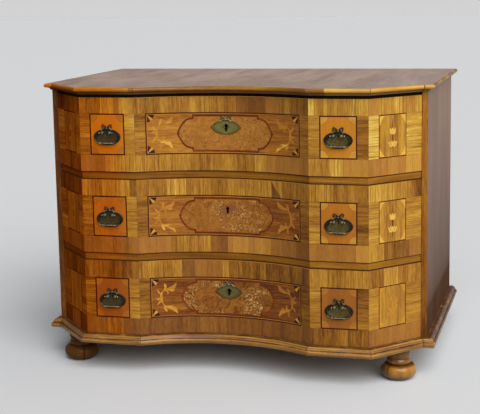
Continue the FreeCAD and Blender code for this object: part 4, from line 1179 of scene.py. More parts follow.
TULIP_PETALS = [
    *mirrored([(0, -0.011), (-0.008, -0.006), (-0.009, 0.004), (-0.012, 0.011)], 0.0075),
    ([(0, -0.011), (0, 0.000), (0, 0.012)], 0.0105),
]
WIDE_PETALS = [
    *mirrored([(0, -0.010), (-0.009, -0.008), (-0.014, 0.001), (-0.020, 0.003)], 0.0085),
    *mirrored([(-0.002, -0.010), (-0.008, 0.000), (-0.006, 0.010)], 0.0080),
    ([(0, -0.010), (0, 0.000), (0, 0.009)], 0.0075),
]
SPRAY = [
    *mirrored([(0, -0.034), (-0.006, -0.016), (-0.015, -0.004), (-0.012, 0.012)], 0.0050),
    *mirrored([(-0.012, 0.008), (-0.018, 0.016), (-0.013, 0.026)], 0.0065),
    ([(0, -0.036), (0.002, 0.000), (-0.001, 0.030)], 0.0045),
    ([(0, 0.014), (-0.005, 0.022), (0, 0.036)], 0.0070),
    *mirrored([(-0.004, -0.020), (-0.014, -0.024), (-0.020, -0.018)], 0.0055),
]
STEM = [(0, -0.052), (0.0012, -0.020), (-0.0012, 0.015), (0, 0.050)]


def wing_flowers(pale, dark, middle, s, sign, sprayed):
    """Two tulips on a stem, or a spray of leaves on the bottom drawer."""
    # The left wing's flowers are painted darker, as shade.
    tone = 0.75 if sign > 0 else 0.3
    if sprayed:
        for points, width in SPRAY:
            leaf_strip(pale, points, width * 0.7, sign, (s, middle), tone - 0.4)
        return
    leaf_strip(dark, STEM, 0.0042, sign, (s, middle), 0.75, lift=INLAY_LIFT - 2 * OVERLAP)
    for petals, rise in ((TULIP_PETALS, 0.013), (WIDE_PETALS, -0.022)):
        for points, width in petals:
            leaf_strip(pale, np.array(points) * TULIP_SIZE, width * TULIP_SIZE, sign,
                       (s, middle + rise), tone, lift=INLAY_LIFT + OVERLAP)


PALE_WOOD = shades((0.0, 158, 100, 34), (0.35, 184, 126, 42), (0.65, 210, 160, 60),
                   (1.0, 232, 192, 96))
CORNER_TONE = {"top": 0.66, "middle": 0.6, "bottom": 0.36}
FAN_TONE = {"top": 0.50, "middle": 0.40, "bottom": 0.08}
# The fans on the left are painted darker, as shade away from the light.
LEFT_FAN_TONE = {"top": 0.12, "middle": 0.04, "bottom": -0.10}
SCROLL_TONE = {"top": 0.36, "middle": 0.24, "bottom": 0.28}
RIGHT_SCROLL_FALL = 0.16
SHADED_WOOD = shades((0.0, 36, 10, 4), (0.6, 66, 24, 10), (1.0, 138, 72, 36))
# Both inlay woods take painted shade towards the left end of each front.
pale_inlay_wood = shade_left_end(veneer_paint("pale_inlay_wood", PALE_WOOD, 0.42, spread=0.4,
                                          stripe=90.0))
shaded_inlay_wood = shade_left_end(veneer_paint("shaded_inlay_wood", SHADED_WOOD, 0.45, spread=0.4))
for name in DRAWERS:
    pale, dark = Leaves(), Leaves()
    low, high = floors[name] + PANEL_LOW, floors[name] + PANEL_HIGH
    middle = (low + high) / 2
    inside = STRING + FINE_STRING
    frame_strings(pale, -CENTRE_PANEL + STRING, CENTRE_PANEL - STRING, low + STRING,
                  high - STRING, FINE_STRING, STRING_LIFT, 0.35)
    for sign in (-1, 1):
        scroll(pale, middle, sign, -1 if (name == "top") == (sign > 0) else 1,
               SCROLL_TONE[name] - (RIGHT_SCROLL_FALL if sign > 0 else 0))
        for turn_z, edge in ((1, low + inside), (-1, high - inside)):
            corner = np.array([sign * (CENTRE_PANEL - inside), edge])
            points = [corner + DART * np.array([-sign * along, turn_z * up])
                      for along, up in DART_POINTS]
            for wood, first, second, tone in zip((dark, pale, dark), points, points[1:],
                                                 DART_TONES):
                corner_piece(wood, corner, first, second, tone)
            for end, turn_s in ((0, sign), (1, -sign)):
                corner = (sign * FLAT_PANEL[end] + turn_s * STRING, edge - turn_z * FINE_STRING)
                fan(pale, corner, turn_s, turn_z, FAN_START, FAN_RADIUS,
                    FAN_TONE[name] if sign > 0 else LEFT_FAN_TONE[name])
                fan(dark, corner, turn_s, turn_z, FAN_RADIUS, FAN_RADIUS + FAN_EDGE, 1.0)
                corner = (sign * WING_PANEL[end] + turn_s * WING_STRING,
                          edge - turn_z * FINE_STRING)
                # The left wing's cut corners are painted darker, as shade.
                cut_corner(pale, corner, turn_s, turn_z, CORNER_TONE[name] if sign > 0 else 0.2)
        wing_flowers(pale, dark, middle, sum(WING_PANEL) / 2, sign, name == "bottom")
    # A pale strip along the top arris of each front in the hollow: a painted highlight.
    pale.block(-HOLLOW_RUN, HOLLOW_RUN, tops[name] - ARRIS_HIGHLIGHT, tops[name], STRING_LIFT, tone=0.3,
               upright=False)
    pale.make(f"{name}_pale_inlay", f"{name}_drawer", pale_inlay_wood)
    dark.make(f"{name}_shaded_inlay", f"{name}_drawer", shaded_inlay_wood)

# ---------------------------------------------------------------------------------------------
# Back plates of the pulls: cast brass ovals gone green and brown. A moulded rim with beads
# inside it runs round a shallow dish, and husks hang in a garland over the top of the dish.

PULL_X = (HOLLOW_HALF + FLAT_HALF) / 2
PULL_HEIGHT = 0.105
PLATE_HALF = np.array([0.042, 0.024])
PLATE_BACK = 0.0006
POST_HALF, POST_RISE = 0.012, 0.013
BEADS, BEAD_RING, BEAD_WIDTH, BEAD_RISE = 54, 0.835, 0.027, 0.6
SEAT_RADIUS, SEAT_THICK, SEAT_PETALS = 0.0055, 0.0045, 8
# The husks on each shoulder: their oval as a share of the plate's, their angles from its top,
# their lean, and their lengths from the largest to the smallest.
HUSKS, HUSK_OVAL, HUSK_LEAN = 8, 0.73, math.radians(24)
HUSK_FROM, HUSK_TO = math.radians(42), math.radians(88)
HUSK_LENGTHS = np.linspace(0.0062, 0.0040, HUSKS)
FLOWER_PETALS, FLOWER_HALF, FLOWER_RISE, DROP_RISE = 6, 0.0026, 0.0150, 0.0085


def even_oval(half, count):
    """Points (x, z) round an ellipse, evenly spaced along it, from its right end upwards."""
    angle = np.linspace(0, 2 * math.pi, 2001)
    x, z = half[0] * np.cos(angle), half[1] * np.sin(angle)
    run = np.append(0, np.cumsum(np.hypot(np.diff(x), np.diff(z))))
    angle = np.interp(np.arange(count) / count * run[-1], run, angle)
    return stack(half[0] * np.cos(angle), half[1] * np.sin(angle))


def ringed(rings, wrap_rows=False):
    """Points and faces of a grid (rows, columns, 3) whose columns close on themselves, and its
    rows too where they wrap."""
    rows, columns = rings.shape[:2]
    index = np.arange(rows * columns).reshape(rows, columns)
    if wrap_rows:
        index = np.vstack([index, index[:1]])
    ahead = np.roll(index, -1, axis=1)
    faces = np.stack([index[:-1], ahead[:-1], ahead[1:], index[1:]], -1)
    return rings.reshape(-1, 3), faces.reshape(-1, 4)


def bar(path, width, depth, closed=False, sides=10):
    """A bar along a path (n, 3) that lies about level with the front: at each point
    p + w cos(a) n + d sin(a) (0, -1, 0), n being square to the path and to (0, -1, 0). The
    half widths w and depths d are numbers or arrays, and an open bar's ends are drawn shut."""
    path = np.asarray(path, float)
    count = len(path)
    if closed:
        along = np.roll(path, -1, axis=0) - np.roll(path, 1, axis=0)
    else:
        along = np.gradient(path, axis=0)
    normal = stack(-along[:, 2], 0, along[:, 0])
    normal /= np.linalg.norm(normal, axis=1, keepdims=True)
    angle = np.linspace(0, 2 * math.pi, sides, endpoint=False)[None, :, None]
    width = np.broadcast_to(width, count)[:, None, None]
    depth = np.broadcast_to(depth, count)[:, None, None]
    rings = (path[:, None] + width * np.cos(angle) * normal[:, None]
             + depth * np.sin(angle) * np.array([0, -1.0, 0]))
    if closed:
        return ringed(rings, True)
    return ringed(np.concatenate([path[None, :1].repeat(sides, 1), rings,
                                  path[None, -1:].repeat(sides, 1)]))


def husk(x, z, turn, length, lift, thick):
    """A pointed seed pod lying on a plate: half width 0.3 l sin(pi t)^0.8 along its length."""
    t = np.linspace(0, 1, 9)
    way = np.array([math.cos(turn), 0, math.sin(turn)])
    path = np.array([x, FLAT_Y - lift, z]) + (t[:, None] - 0.5) * length * way
    swell = np.sin(math.pi * np.clip(t, 0.03, 0.97)) ** 0.8
    return bar(path, 0.3 * length * swell, thick * swell, sides=8)


def pull_plate(x0, z0):
    """The plate's face and its flat back. Ring heights come from a profile across the rim, in
    millimetres; the beads add BEAD_RISE cos^2(pi n u) on their ring, u being the share of the
    way round."""
    rings = np.array([0.0, 0.2, 0.4, 0.6, 0.72, 0.78, 0.81, 0.835, 0.86, 0.88, 0.905, 0.93, 0.955,
                      0.98, 1.0])
    lift = np.array([1.9, 1.8, 1.6, 1.5, 1.6, 2.2, 2.6, 2.7, 2.6, 2.9, 3.9, 4.5, 4.3, 3.4, 2.4])
    rim = even_oval(PLATE_HALF, 6 * BEADS)
    round_share = np.arange(len(rim)) / len(rim)
    beads = BEAD_RISE * np.cos(math.pi * BEADS * round_share) ** 2
    on_beads = np.clip(1 - np.abs(rings - BEAD_RING) / BEAD_WIDTH, 0, 1)
    height = (lift[:, None] + on_beads[:, None] * beads) / 1000
    face = rim[None] * rings[:, None, None]
    place = np.array([x0, z0])
    x, z = np.moveaxis(np.concatenate([face, face[[-1, 0]]]) + place, -1, 0)
    height = np.concatenate([height, np.full((2, len(rim)), PLATE_BACK)])
    return ringed(stack(x, FLAT_Y - height, z))


def seat(x0, z0):
    """The round seat of a post, cut into eight petals: radius r (1 + 0.08 cos 8a)."""
    angle = np.linspace(0, 2 * math.pi, 48, endpoint=False)
    petals = SEAT_RADIUS * (1 + 0.08 * np.cos(SEAT_PETALS * angle))
    share = np.array([0.01, 1.0, 1.0, 0.88, 0.6, 0.01])[:, None]
    lift = np.array([0.3, 0.3, 0.62, 0.9, 1.0, 1.0])[:, None] * SEAT_THICK
    return ringed(stack(x0 + share * petals * np.cos(angle), FLAT_Y - lift,
                        z0 + share * petals * np.sin(angle)))


def garland(x0, z0):
    """Husks of falling size down both shoulders, a round flower between the two seats and a drop
    below it."""
    shells = [seat(x0 + sign * POST_HALF, z0 + POST_RISE) for sign in (-1, 1)]
    for sign in (-1, 1):
        for down, length in zip(np.linspace(HUSK_FROM, HUSK_TO, HUSKS), HUSK_LENGTHS):
            angle = math.pi / 2 - sign * down
            x, z = HUSK_OVAL * PLATE_HALF * (math.cos(angle), math.sin(angle))
            turn = math.atan2(PLATE_HALF[1] * math.cos(angle), -PLATE_HALF[0] * math.sin(angle))
            shells.append(husk(x0 + x, z0 + z, turn + HUSK_LEAN * sign, length, lift=0.0023,
                               thick=0.0016))
    for angle in np.arange(FLOWER_PETALS) * 2 * math.pi / FLOWER_PETALS:
        x, z = FLOWER_HALF * math.cos(angle), FLOWER_RISE + FLOWER_HALF * math.sin(angle)
        shells.append(husk(x0 + x, z0 + z, angle, length=0.0048, lift=0.0032, thick=0.0015))
    shells.append(husk(x0, z0 + DROP_RISE, math.pi / 2, length=0.0065, lift=0.0026,
                       thick=0.0015))
    return shells


BOW_KNOT = 0.0045
LOOP_OUT, LOOP_SWELL, LOOP_RISE = 0.0078, 0.0072, 0.0062
TAIL_OUT, TAIL_WAVE, TAIL_FALL = 0.020, 0.0022, 0.006
RIBBON_HALF = 0.0017
# How far loops, tails and knot stand off the plate's back, and how much more the tails' ends do.
LOOP_STAND, TAIL_STAND, KNOT_STAND, TAIL_END = 0.0022, 0.0024, 0.0026, 0.0026


def bow(x0, z0, back_y):
    """A ribbon bow over a plate's rim. For t from -pi to pi each loop reaches
    OUT (1 + cos t) from the knot and rises SWELL sin t (0.55 + 0.45 cos t) + RISE (1 + cos t) / 2;
    two tails wave out from under it, and the knot is a bead."""
    shells = []
    t = np.linspace(-math.pi, math.pi, 33)[:-1]
    u = np.linspace(0, 1, 15)
    for sign in (-1, 1):
        out = LOOP_OUT * (1 + np.cos(t)) - 0.001
        rise = (LOOP_SWELL * np.sin(t) * (0.55 + 0.45 * np.cos(t))
                + LOOP_RISE * (1 + np.cos(t)) / 2)
        shells.append(bar(stack(x0 + sign * out, back_y - LOOP_STAND, z0 + rise), RIBBON_HALF,
                          depth=0.0020, closed=True))
        wave = TAIL_WAVE * np.sin(2.2 * math.pi * u) - TAIL_FALL * u
        tail = stack(x0 + sign * (0.002 + TAIL_OUT * u), back_y - TAIL_STAND - TAIL_END * u,
                     z0 + 0.001 + wave)
        swell = np.sin(math.pi * np.clip(u, 0.12, 0.95)) ** 0.5
        shells.append(bar(tail, RIBBON_HALF * swell, depth=0.0011))
    turn = np.linspace(0, math.pi, 9)
    swell = np.sin(np.clip(turn, 0.05, 3.09))
    knot = stack(x0 - BOW_KNOT * 0.8 * np.cos(turn), back_y - KNOT_STAND, z0)
    return [*shells, bar(knot, width=0.0036 * swell, depth=0.0024 * swell)]


# Painted shade on the pulls left of this x, and how much.
LEFT_PULLS, LEFT_PULL_SHADE = -0.1, 0.55
PLATE_RELIEF, BAIL_RELIEF = 0.0052, 0.004


def bronze_paint(name, dark, green, worn, wear_from, roughness=0.42, skin_range=(0.85, 1.4)):
    """Old brass rubbed through to dull metal where `relief` is high. Its skin is green where
    a - b * relief is high and brown where that is low, and painted darker, as shade, at the left."""
    paint = new_paint(name, roughness, Specular_IOR_Level=0.2)
    relief, place = attribute(paint, "relief"), object_place(paint)
    cloud, fine = noise(paint, place, 170.0, detail=4.0), noise(paint, place, 900.0)
    hollow = linear(paint, relief, -skin_range[1], skin_range[0])
    feed(paint, mix(paint, total(paint, hollow, (cloud, 0.9)), dark, green))
    left = math_node(paint, "LESS_THAN", axes(paint, place)["X"], LEFT_PULLS)
    tint(paint, math_node(paint, "MULTIPLY", left, LEFT_PULL_SHADE), srgb(34, 22, 10))
    height = total(paint, relief, (cloud, 0.4), (fine, 0.15))
    share = between(paint, height, wear_from, wear_from + 0.3)
    tint(paint, share, worn)
    feed(paint, linear(paint, share, 0.75, 0.04), "Metallic")
    feed(paint, linear(paint, share, -0.14, roughness + 0.08), "Roughness")
    set_bump(paint, total(paint, 0.5, (fine, 0.6), (cloud, 0.6)), 0.0003)
    return paint


def relief_of(shells, back_y, thick, start=0.0):
    """How far each point of the shells stands off y = back_y, as a share of a thickness, above
    what that plane itself has."""
    return [np.clip((back_y - points[:, 1]) / thick + start, 0, 1) for points, _ in shells]


plate_bronze = bronze_paint("plate_bronze", srgb(28, 18, 8), srgb(116, 102, 48),
                            srgb(176, 166, 124), 0.88, skin_range=(0.95, 1.6))
for name in DRAWERS:
    for side, sign in SIDES.items():
        x0, z0 = sign * PULL_X, floors[name] + PULL_HEIGHT
        shells = [pull_plate(x0, z0), *garland(x0, z0),
                  *bow(x0, z0 + PLATE_HALF[1] + BOW_KNOT / 2, FLAT_Y - PLATE_BACK)]
        piece = make_piece(f"{name}_cast_plate_{side}", f"{name}_drawer", "pull_bronze",
                           plate_bronze, shells, smooth=True, weld=True,
                           relief=relief_of(shells, FLAT_Y, PLATE_RELIEF))
        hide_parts(f"{name}_pull_plate_{side}")

# ---------------------------------------------------------------------------------------------
# Bails and posts. Each bail is a wide cast loop that hangs from two posts under the bow, and
# swells towards its middle between two collars; a ball and a pin end it beside each post.
# Fingers have kept its front bright. The posts stay as the frame has them.

PIVOT_Y = FLAT_Y - 0.012
BAIL_HALF = 0.0199
BAIL_CORNER, BAIL_SIDE = 0.014, 0.002
BAR, BAR_SWELL = 0.0017, 0.0008
COLLARS, COLLAR = (0.36, 0.64), 0.0005
BALL = 0.003
PIN = 0.0013
PIN_END = POST_HALF - 0.003


def bail_bar(x0, z0):
    """The bar's line leaves the ball outwards and runs round an upper corner, down, round a
    lower corner and across. Half its thickness is BAR + BAR_SWELL sin^2(pi u), and each collar
    adds COLLAR exp(-((u - u0) / 0.010)^2)."""
    turn = np.linspace(0, math.pi / 2, 17)
    arc = BAIL_CORNER * stack(np.sin(turn), np.cos(turn))
    upper = arc + np.array([BAIL_HALF, -BAIL_CORNER])
    lower = arc[::-1] * np.array([1, -1]) + np.array([BAIL_HALF, -BAIL_CORNER - BAIL_SIDE])
    half_line = np.concatenate([upper, lower])
    line = np.concatenate([half_line, half_line[::-1] * np.array([-1, 1])])
    run = np.append(0, np.cumsum(np.hypot(*np.diff(line, axis=0).T)))
    u = np.linspace(0, 1, 129)
    x, z = (np.interp(u, run / run[-1], part) for part in line.T)
    half = BAR + BAR_SWELL * np.sin(math.pi * u) ** 2
    for middle in COLLARS:
        half = half + COLLAR * np.exp(-((u - middle) / 0.010) ** 2)
    return bar(stack(x0 + x, PIVOT_Y, z0 + z), half, half, sides=14)


def bail_end(x0, z0, sign):
    """A ball at the top of the bar and the pin that turns in the post: along x, the radius is
    sqrt(r^2 - x^2) within the ball and the pin's outside it."""
    turn = np.linspace(-math.pi / 2, math.pi / 2, 13)
    ball = stack(x0 + sign * BAIL_HALF + BALL * np.sin(turn), PIVOT_Y, z0)
    pin = stack(x0 + sign * np.linspace(BAIL_HALF, PIN_END, 4), PIVOT_Y, z0)
    radius = np.maximum(BALL * np.cos(turn), 0.00005)
    return [bar(ball, radius, radius), bar(pin, PIN, PIN)]


bail_bronze = bronze_paint("bail_bronze", srgb(28, 22, 12), srgb(66, 58, 32),
                           srgb(222, 214, 176), 0.84, 0.3)
post_bronze = bronze_paint("post_bronze", srgb(44, 38, 26), srgb(84, 80, 50),
                           srgb(176, 168, 130), -0.05)
for name in DRAWERS:
    for side, sign in SIDES.items():
        x0, z0 = sign * PULL_X, floors[name] + PULL_HEIGHT + POST_RISE
        shells = [bail_bar(x0, z0), *bail_end(x0, z0, -1), *bail_end(x0, z0, 1)]
        piece = make_piece(f"{name}_cast_bail_{side}", f"{name}_bail_{side}", "pull_bronze",
                           bail_bronze, shells, smooth=True, weld=True,
                           relief=relief_of(shells, PIVOT_Y, BAIL_RELIEF, 0.35))
        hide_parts(f"{name}_bail_{side}")
    dress(post_bronze, f"{name}_pull_posts")

# ---------------------------------------------------------------------------------------------
# Key plates of the top and bottom drawers: sheet brass gone green, bent to the hollow, with a
# beaded rim, a raised lip round the keyhole and a bow on top. The middle drawer has lost its own.

KEY_PLATE_HALF = (0.042, 0.021)
KEY_PLATE_DROP = 0.004
KEY_PLATE_LOBE = 0.0045
KEY_PLATE_BACK = 0.0006
KEY_PLATE_RELIEF = 0.0045
# Its beads: how many on half the rim, the share of the way out where their ring is and half
# that ring's width, and how far they rise in millimetres.
KEY_BEADS, KEY_BEAD_RING, KEY_BEAD_WIDTH, KEY_BEAD_RISE = 15, 0.79, 0.045, 0.45
EYE_DROP = 0.002


def hollow_y(x):
    """The bent front at x: y = centre + sqrt(R^2 - x^2)."""
    return HOLLOW_CENTRE_Y + np.sqrt(HOLLOW_RADIUS ** 2 - x ** 2)


def circle_exit(way, centre, radius):
    """How far a ray from the origin goes before it leaves a circle, and the way in to it:
    d = c.w + sqrt((c.w)^2 + r^2 - c.c). Both are nan where it misses."""
    middle = way @ np.asarray(centre)
    with np.errstate(invalid="ignore"):
        half = np.sqrt(middle ** 2 + radius ** 2 - np.dot(centre, centre))
    return middle + half, middle - half


def keyhole_reach(way):
    """From a point 2 mm below the middle of the keyhole's round part to its edge: the circle's
    exit, or the slot's where that is farther, min(w / |cos|, d / |sin|) downwards."""
    round_exit, _ = circle_exit(way, (0, EYE_DROP), KEYHOLE_RADIUS)
    beside = KEYHOLE_SLOT / np.maximum(np.abs(way[:, 0]), 1e-6)
    below = (KEYHOLE_DROP - EYE_DROP) / np.maximum(-way[:, 1], 1e-6)
    return np.maximum(round_exit, np.minimum(beside, below) * (way[:, 1] < 0))


def rim_reach(way, pointed):
    """From the same point to the plate's rim. The pointed plate is where two circles overlap,
    R = (w^2 + h^2) / 2h, so the nearer exit counts; the oval one has a lobe at each end."""
    width, height = KEY_PLATE_HALF
    rise = KEY_PLATE_DROP - EYE_DROP
    if pointed:
        radius = (width ** 2 + height ** 2) / (2 * height)
        exits = [circle_exit(way, (0, sign * (radius - height) - rise), radius)[0]
                 for sign in (-1, 1)]
        return np.minimum(*exits)
    a = (way[:, 0] / width) ** 2 + (way[:, 1] / height) ** 2
    b = way[:, 1] * rise / height ** 2
    reach = (-b + np.sqrt(b ** 2 - a * ((rise / height) ** 2 - 1))) / a
    for sign in (-1, 1):
        leaves, enters = circle_exit(way, (sign * width, -rise), KEY_PLATE_LOBE)
        reach = np.where((enters < reach) & (leaves > reach), leaves, reach)
    return reach


def key_plate(z0, pointed):
    """The plate as rings from the keyhole to the rim, both faces joined at the two edges, with
    every point lifted off the bent front: y = hollow_y(x) - lift. The profile from the lip to
    the rim is in millimetres, and the beads add to it as cos^2(n angle)."""
    count = 240
    angle = np.arange(count) / count * 2 * math.pi + 1e-4
    way = stack(np.cos(angle), np.sin(angle))
    inner, outer = keyhole_reach(way)[None, :], rim_reach(way, pointed)[None, :]
    share = np.array([0, 0.06, 0.13, 0.2, 0.3, 0.45, 0.6, 0.70, 0.75, 0.79, 0.83, 0.88, 0.93, 0.97,
                      1.0])
    lift = np.array([1.5, 1.8, 1.6, 1.2, 1.1, 1.1, 1.15, 1.2, 1.3, 1.35, 1.3, 1.5, 1.8, 1.7, 1.2])
    on_beads = np.clip(1 - np.abs(share - KEY_BEAD_RING) / KEY_BEAD_WIDTH, 0, 1)
    beads = on_beads[:, None] * np.cos(KEY_BEADS * angle) ** 2
    lift = (lift[:, None] + KEY_BEAD_RISE * beads) / 1000
    reach = inner + (outer - inner) * share[:, None]
    reach = np.concatenate([reach, reach[[-1, 0]]])
    lift = np.concatenate([lift, np.full((2, count), 0.0)]) + KEY_PLATE_BACK
    x, z = reach * way[:, 0], reach * way[:, 1]
    return ringed(stack(x, hollow_y(x) - lift, z0 - EYE_DROP + z), True)


for name, pointed, green in (("top", False, srgb(126, 118, 54)),
                             ("bottom", True, srgb(104, 96, 48))):
    key_brass = bronze_paint(f"{name}_key_brass", srgb(44, 38, 18), green,
                             srgb(170, 164, 120), 0.80, 0.46, (1.8, 3.6))
    key_z = floors[name] + KEY_HEIGHT
    knot_z = key_z - KEY_PLATE_DROP + KEY_PLATE_HALF[1] + BOW_KNOT / 2
    shells = [key_plate(key_z, pointed), *bow(0, knot_z, hollow_y(0) - KEY_PLATE_BACK)]
    relief = []
    for points, _ in shells:
        lift = hollow_y(points[:, 0]) - KEY_PLATE_BACK - points[:, 1]
        relief.append(0.1 + 0.9 * np.clip(lift / KEY_PLATE_RELIEF, 0, 1))
    piece = make_piece(f"{name}_bent_key_plate", f"{name}_drawer", "key_brass", key_brass, shells,
                       smooth=True, weld=True, relief=relief)
    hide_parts(f"{name}_key_plate")

# ---------------------------------------------------------------------------------------------
# Locks, bolts and the pulls' square nuts: forged iron with brown rust, filed bright on the bolt.
# The locks' cases are let into the fronts, and the nuts hold the pulls' studs from inside.

IRON = shades((0.0, 26, 22, 20), (0.45, 58, 50, 44), (0.7, 104, 66, 42), (1.0, 140, 128, 116))


def iron_paint(name, bright):
    """Forged iron: dark scale, rust in patches, and a share of filed metal."""
    paint = new_paint(name, 0.6, Metallic=0.55 + bright)
    scale = noise(paint, object_place(paint), 90.0, detail=5.0, rough=0.65)
    rust = noise(paint, object_place(paint), 300.0, detail=4.0)
    feed(paint, ramp(paint, total(paint, 0.45 + bright, (scale, 1.1), (rust, 0.5)), IRON))
    set_bump(paint, total(paint, 0.5, (scale, 0.8), (rust, 0.6)), 0.0006)
    return paint


lock_iron, bolt_iron = iron_paint("lock_iron", 0.0), iron_paint("filed_bolt_iron", 0.3)
for name in DRAWERS:
    dress(lock_iron, f"{name}_lock_case", f"{name}_pull_nuts")
    dress(bolt_iron, f"{name}_lock_bolt")

# ---------------------------------------------------------------------------------------------
# Joinery and nails: the end grain of the dovetails that shows on the drawers' sides, hand-made
# nails in the back boards, and the rivets that hold the locks' caps.

PINS = 3
PIN_HALF = 0.008
PIN_FLARE = 0.45
PIN_PROUD = 0.00012
FRONT_LAP = 0.018
BACK_LAP = 0.010
NAIL_RADIUS, NAIL_PROUD = 0.0035, 0.0003
RIVET_RADIUS, RIVET_PROUD = 0.0032, 0.0012
RIVET_INSET, RIVET_FROM_TOP = 0.008, 0.014
# Nails stand this far in from the back's edge, above the case's foot, below each drawer's
# floor and below the top, and at these x along the foot, some of them a little higher.
NAIL_INSET, NAIL_ABOVE, NAIL_BELOW, NAIL_FROM_TOP = 0.015, 0.014, 0.011, 0.004
FOOT_NAILS = ((0.022, 0.0), (0.160, 0.0), (0.215, 0.002), (0.375, 0.002))


def dovetail_pins(low, high, sign, start, end):
    """Pins on a drawer side's outer face, PINS of them up its height, each as long as the
    joint: half height h (1 - f t), where t is 0 at the joint's inner end and 1 at the side's."""
    shells = []
    step = (high.z - low.z) / PINS
    x = high.x if sign > 0 else low.x
    for number in range(PINS):
        middle = low.z + step * (number + 0.5)
        half = PIN_HALF * np.array([1.0, 1.0 - PIN_FLARE])
        z = middle + np.array([-1, 1])[:, None] * half
        outer = stack(x + sign * PIN_PROUD, np.array([start, end]), z)
        shells.append(closed_sheet(outer, outer - np.array([sign * 2 * PIN_PROUD, 0, 0])))
    return shells


def stud(x, z, y, radius, proud):
    """A round head that faces the back: a low dome, r sqrt(1 - (h / proud)^2) above its foot."""
    turn = np.linspace(0, math.pi / 2 - 0.02, 5)
    angle = np.linspace(0, 2 * math.pi, 16, endpoint=False)
    reach = radius * np.concatenate([[0.02, 1.0], np.cos(turn)])[:, None]
    lift = proud * np.concatenate([[-0.5, -0.5], np.sin(turn)])[:, None]
    return ringed(stack(x + reach * np.cos(angle), y + lift, z + reach * np.sin(angle)))


end_grain = wood_paint("pine_end_grain", PINE, 0, 0.8, tone=0.28)
for name in DRAWERS:
    shells = []
    for side, sign in SIDES.items():
        low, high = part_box(f"{name}_drawer_side_{side}")
        shells += dovetail_pins(low, high, sign, low.y + FRONT_LAP, low.y)
        shells += dovetail_pins(low, high, sign, high.y - BACK_LAP, high.y)
    make_piece(f"{name}_dovetails", f"{name}_drawer", "pine", end_grain, shells, weld=True)
    low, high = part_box(f"{name}_lock_case")
    shells = [stud(sign * (high.x - RIVET_INSET), z, high.y, RIVET_RADIUS, RIVET_PROUD)
              for sign in (-1, 1) for z in (low.z + RIVET_INSET, high.z - RIVET_FROM_TOP)]
    make_piece(f"{name}_lock_rivets", f"{name}_drawer", "lock_iron", bolt_iron, shells,
               smooth=True, weld=True)

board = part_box("back_boards")[1]
nails = [(board.x - NAIL_INSET, z) for z in (
    BASE_Z + NAIL_ABOVE, floors["middle"] - NAIL_BELOW, floors["top"] - NAIL_BELOW,
    board.z - NAIL_FROM_TOP)]
nails += [(x, BASE_Z + NAIL_ABOVE + higher) for x, higher in FOOT_NAILS]
shells = [stud(sign * x, z, board.y, NAIL_RADIUS, NAIL_PROUD)
          for sign in (-1, 1) for x, z in nails]
make_piece("back_nails", "case", "pine", lock_iron, shells, smooth=True, weld=True)

# ---------------------------------------------------------------------------------------------
# The floor and what surrounds it: a pale grey floor that runs out to a pale grey surround, a
# broad soft light from the right and a little light from all round.

BACKDROP = srgb(210, 210, 210)
FLOOR_HALF = 40.0
FLOOR_SHOWN = srgb(214, 216, 218)
FLOOR_GREY = 0.32
LEFT_OF_ROOM = -0.4
ROOM_LIGHT = (0.0, 0.9)
ROOM_REFLECTION = (0.3, 1.0)
SUN_STRENGTH = 3.32
SUN_SPREAD = math.radians(54)
SUN_TURN = math.radians(30)
SUN_HEIGHT = math.radians(40)

floor_mesh = bpy.data.meshes.new("floor")
floor_corners = [(-FLOOR_HALF, -FLOOR_HALF, 0), (FLOOR_HALF, -FLOOR_HALF, 0),
                 (FLOOR_HALF, FLOOR_HALF, 0), (-FLOOR_HALF, FLOOR_HALF, 0)]
floor_mesh.from_pydata(floor_corners, [], [(0, 1, 2, 3)])
floor_paint = new_paint("floor_grey", 0.9, Specular_IOR_Level=0.1)
rays = node(floor_paint, "LightPath").outputs
seen = math_node(floor_paint, "MAXIMUM", rays["Is Glossy Ray"], rays["Is Transmission Ray"],
                 rays["Is Camera Ray"])
feed(floor_paint, mix(floor_paint, seen, (*[FLOOR_GREY] * 3, 1), FLOOR_SHOWN))
floor_mesh.materials.append(floor_paint)
floor = bpy.data.objects.new("floor", floor_mesh)
bpy.context.scene.collection.objects.link(floor)

world = bpy.data.worlds.new("surround")
bpy.context.scene.world = world
world.use_nodes = True
way = axes(world, node(world, "TexCoord").outputs["Generated"])["X"]


def surround(colour, least, most):
    """A background whose strength grows from the left of the room to its right."""
    strength = between(world, way, LEFT_OF_ROOM, 1.0, least, most)
    return node(world, "Background", {"Color": colour, "Strength": strength}).outputs[0]


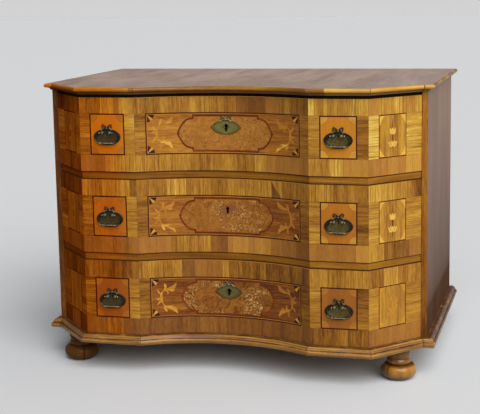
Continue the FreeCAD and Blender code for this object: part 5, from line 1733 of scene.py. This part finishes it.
rays = node(world, "LightPath").outputs
lit, mirrored_room, shown = (surround(colour, *strength) for colour, strength in (
    ((1.0, 1.0, 1.0, 1), ROOM_LIGHT), (BACKDROP, ROOM_REFLECTION), (BACKDROP, (1.0, 1.0))))
for kind, room in (("Glossy", mirrored_room), ("Transmission", shown), ("Camera", shown)):
    lit = node(world, "MixShader", {0: rays[f"Is {kind} Ray"], 1: lit, 2: room}).outputs[0]
world.node_tree.links.new(lit, world.node_tree.nodes["World Output"].inputs["Surface"])

sun_data = bpy.data.lights.new("soft_sun", "SUN")
sun_data.energy, sun_data.angle = SUN_STRENGTH, SUN_SPREAD
sun = bpy.data.objects.new("soft_sun", sun_data)
bpy.context.scene.collection.objects.link(sun)
toward_sun = Vector((math.sin(SUN_TURN) * math.cos(SUN_HEIGHT),
                     -math.cos(SUN_TURN) * math.cos(SUN_HEIGHT), math.sin(SUN_HEIGHT)))
sun.rotation_mode = "QUATERNION"
sun.rotation_quaternion = toward_sun.to_track_quat("Z", "Y")

# The camera stands in front, to the right of the middle, and looks a little down.
CAMERA_PLACE = Vector((0.9991, -3.8488, 1.1547))
CAMERA_TURN, CAMERA_DIP, CAMERA_ROLL = 0.2659, 0.1617, -0.0180
CAMERA_LENS = 94.25
CAMERA_SHIFT = -0.0354

ahead = Vector((-math.sin(CAMERA_TURN), math.cos(CAMERA_TURN), 0))
level_right = Vector((math.cos(CAMERA_TURN), math.sin(CAMERA_TURN), 0))
upward = Vector((0, 0, 1))
view_way = ahead * math.cos(CAMERA_DIP) - upward * math.sin(CAMERA_DIP)
level_up = upward * math.cos(CAMERA_DIP) + ahead * math.sin(CAMERA_DIP)
view_right = level_right * math.cos(CAMERA_ROLL) + level_up * math.sin(CAMERA_ROLL)
view_up = level_up * math.cos(CAMERA_ROLL) - level_right * math.sin(CAMERA_ROLL)
camera_data = bpy.data.cameras.new("camera")
camera_data.lens, camera_data.shift_y = CAMERA_LENS, CAMERA_SHIFT
camera = bpy.data.objects.new("camera", camera_data)
turned = Matrix((view_right, view_up, -view_way)).transposed().to_4x4()
camera.matrix_world = Matrix.Translation(CAMERA_PLACE) @ turned
bpy.context.scene.collection.objects.link(camera)
bpy.context.scene.camera = camera
bpy.context.scene.view_settings.view_transform = "Standard"
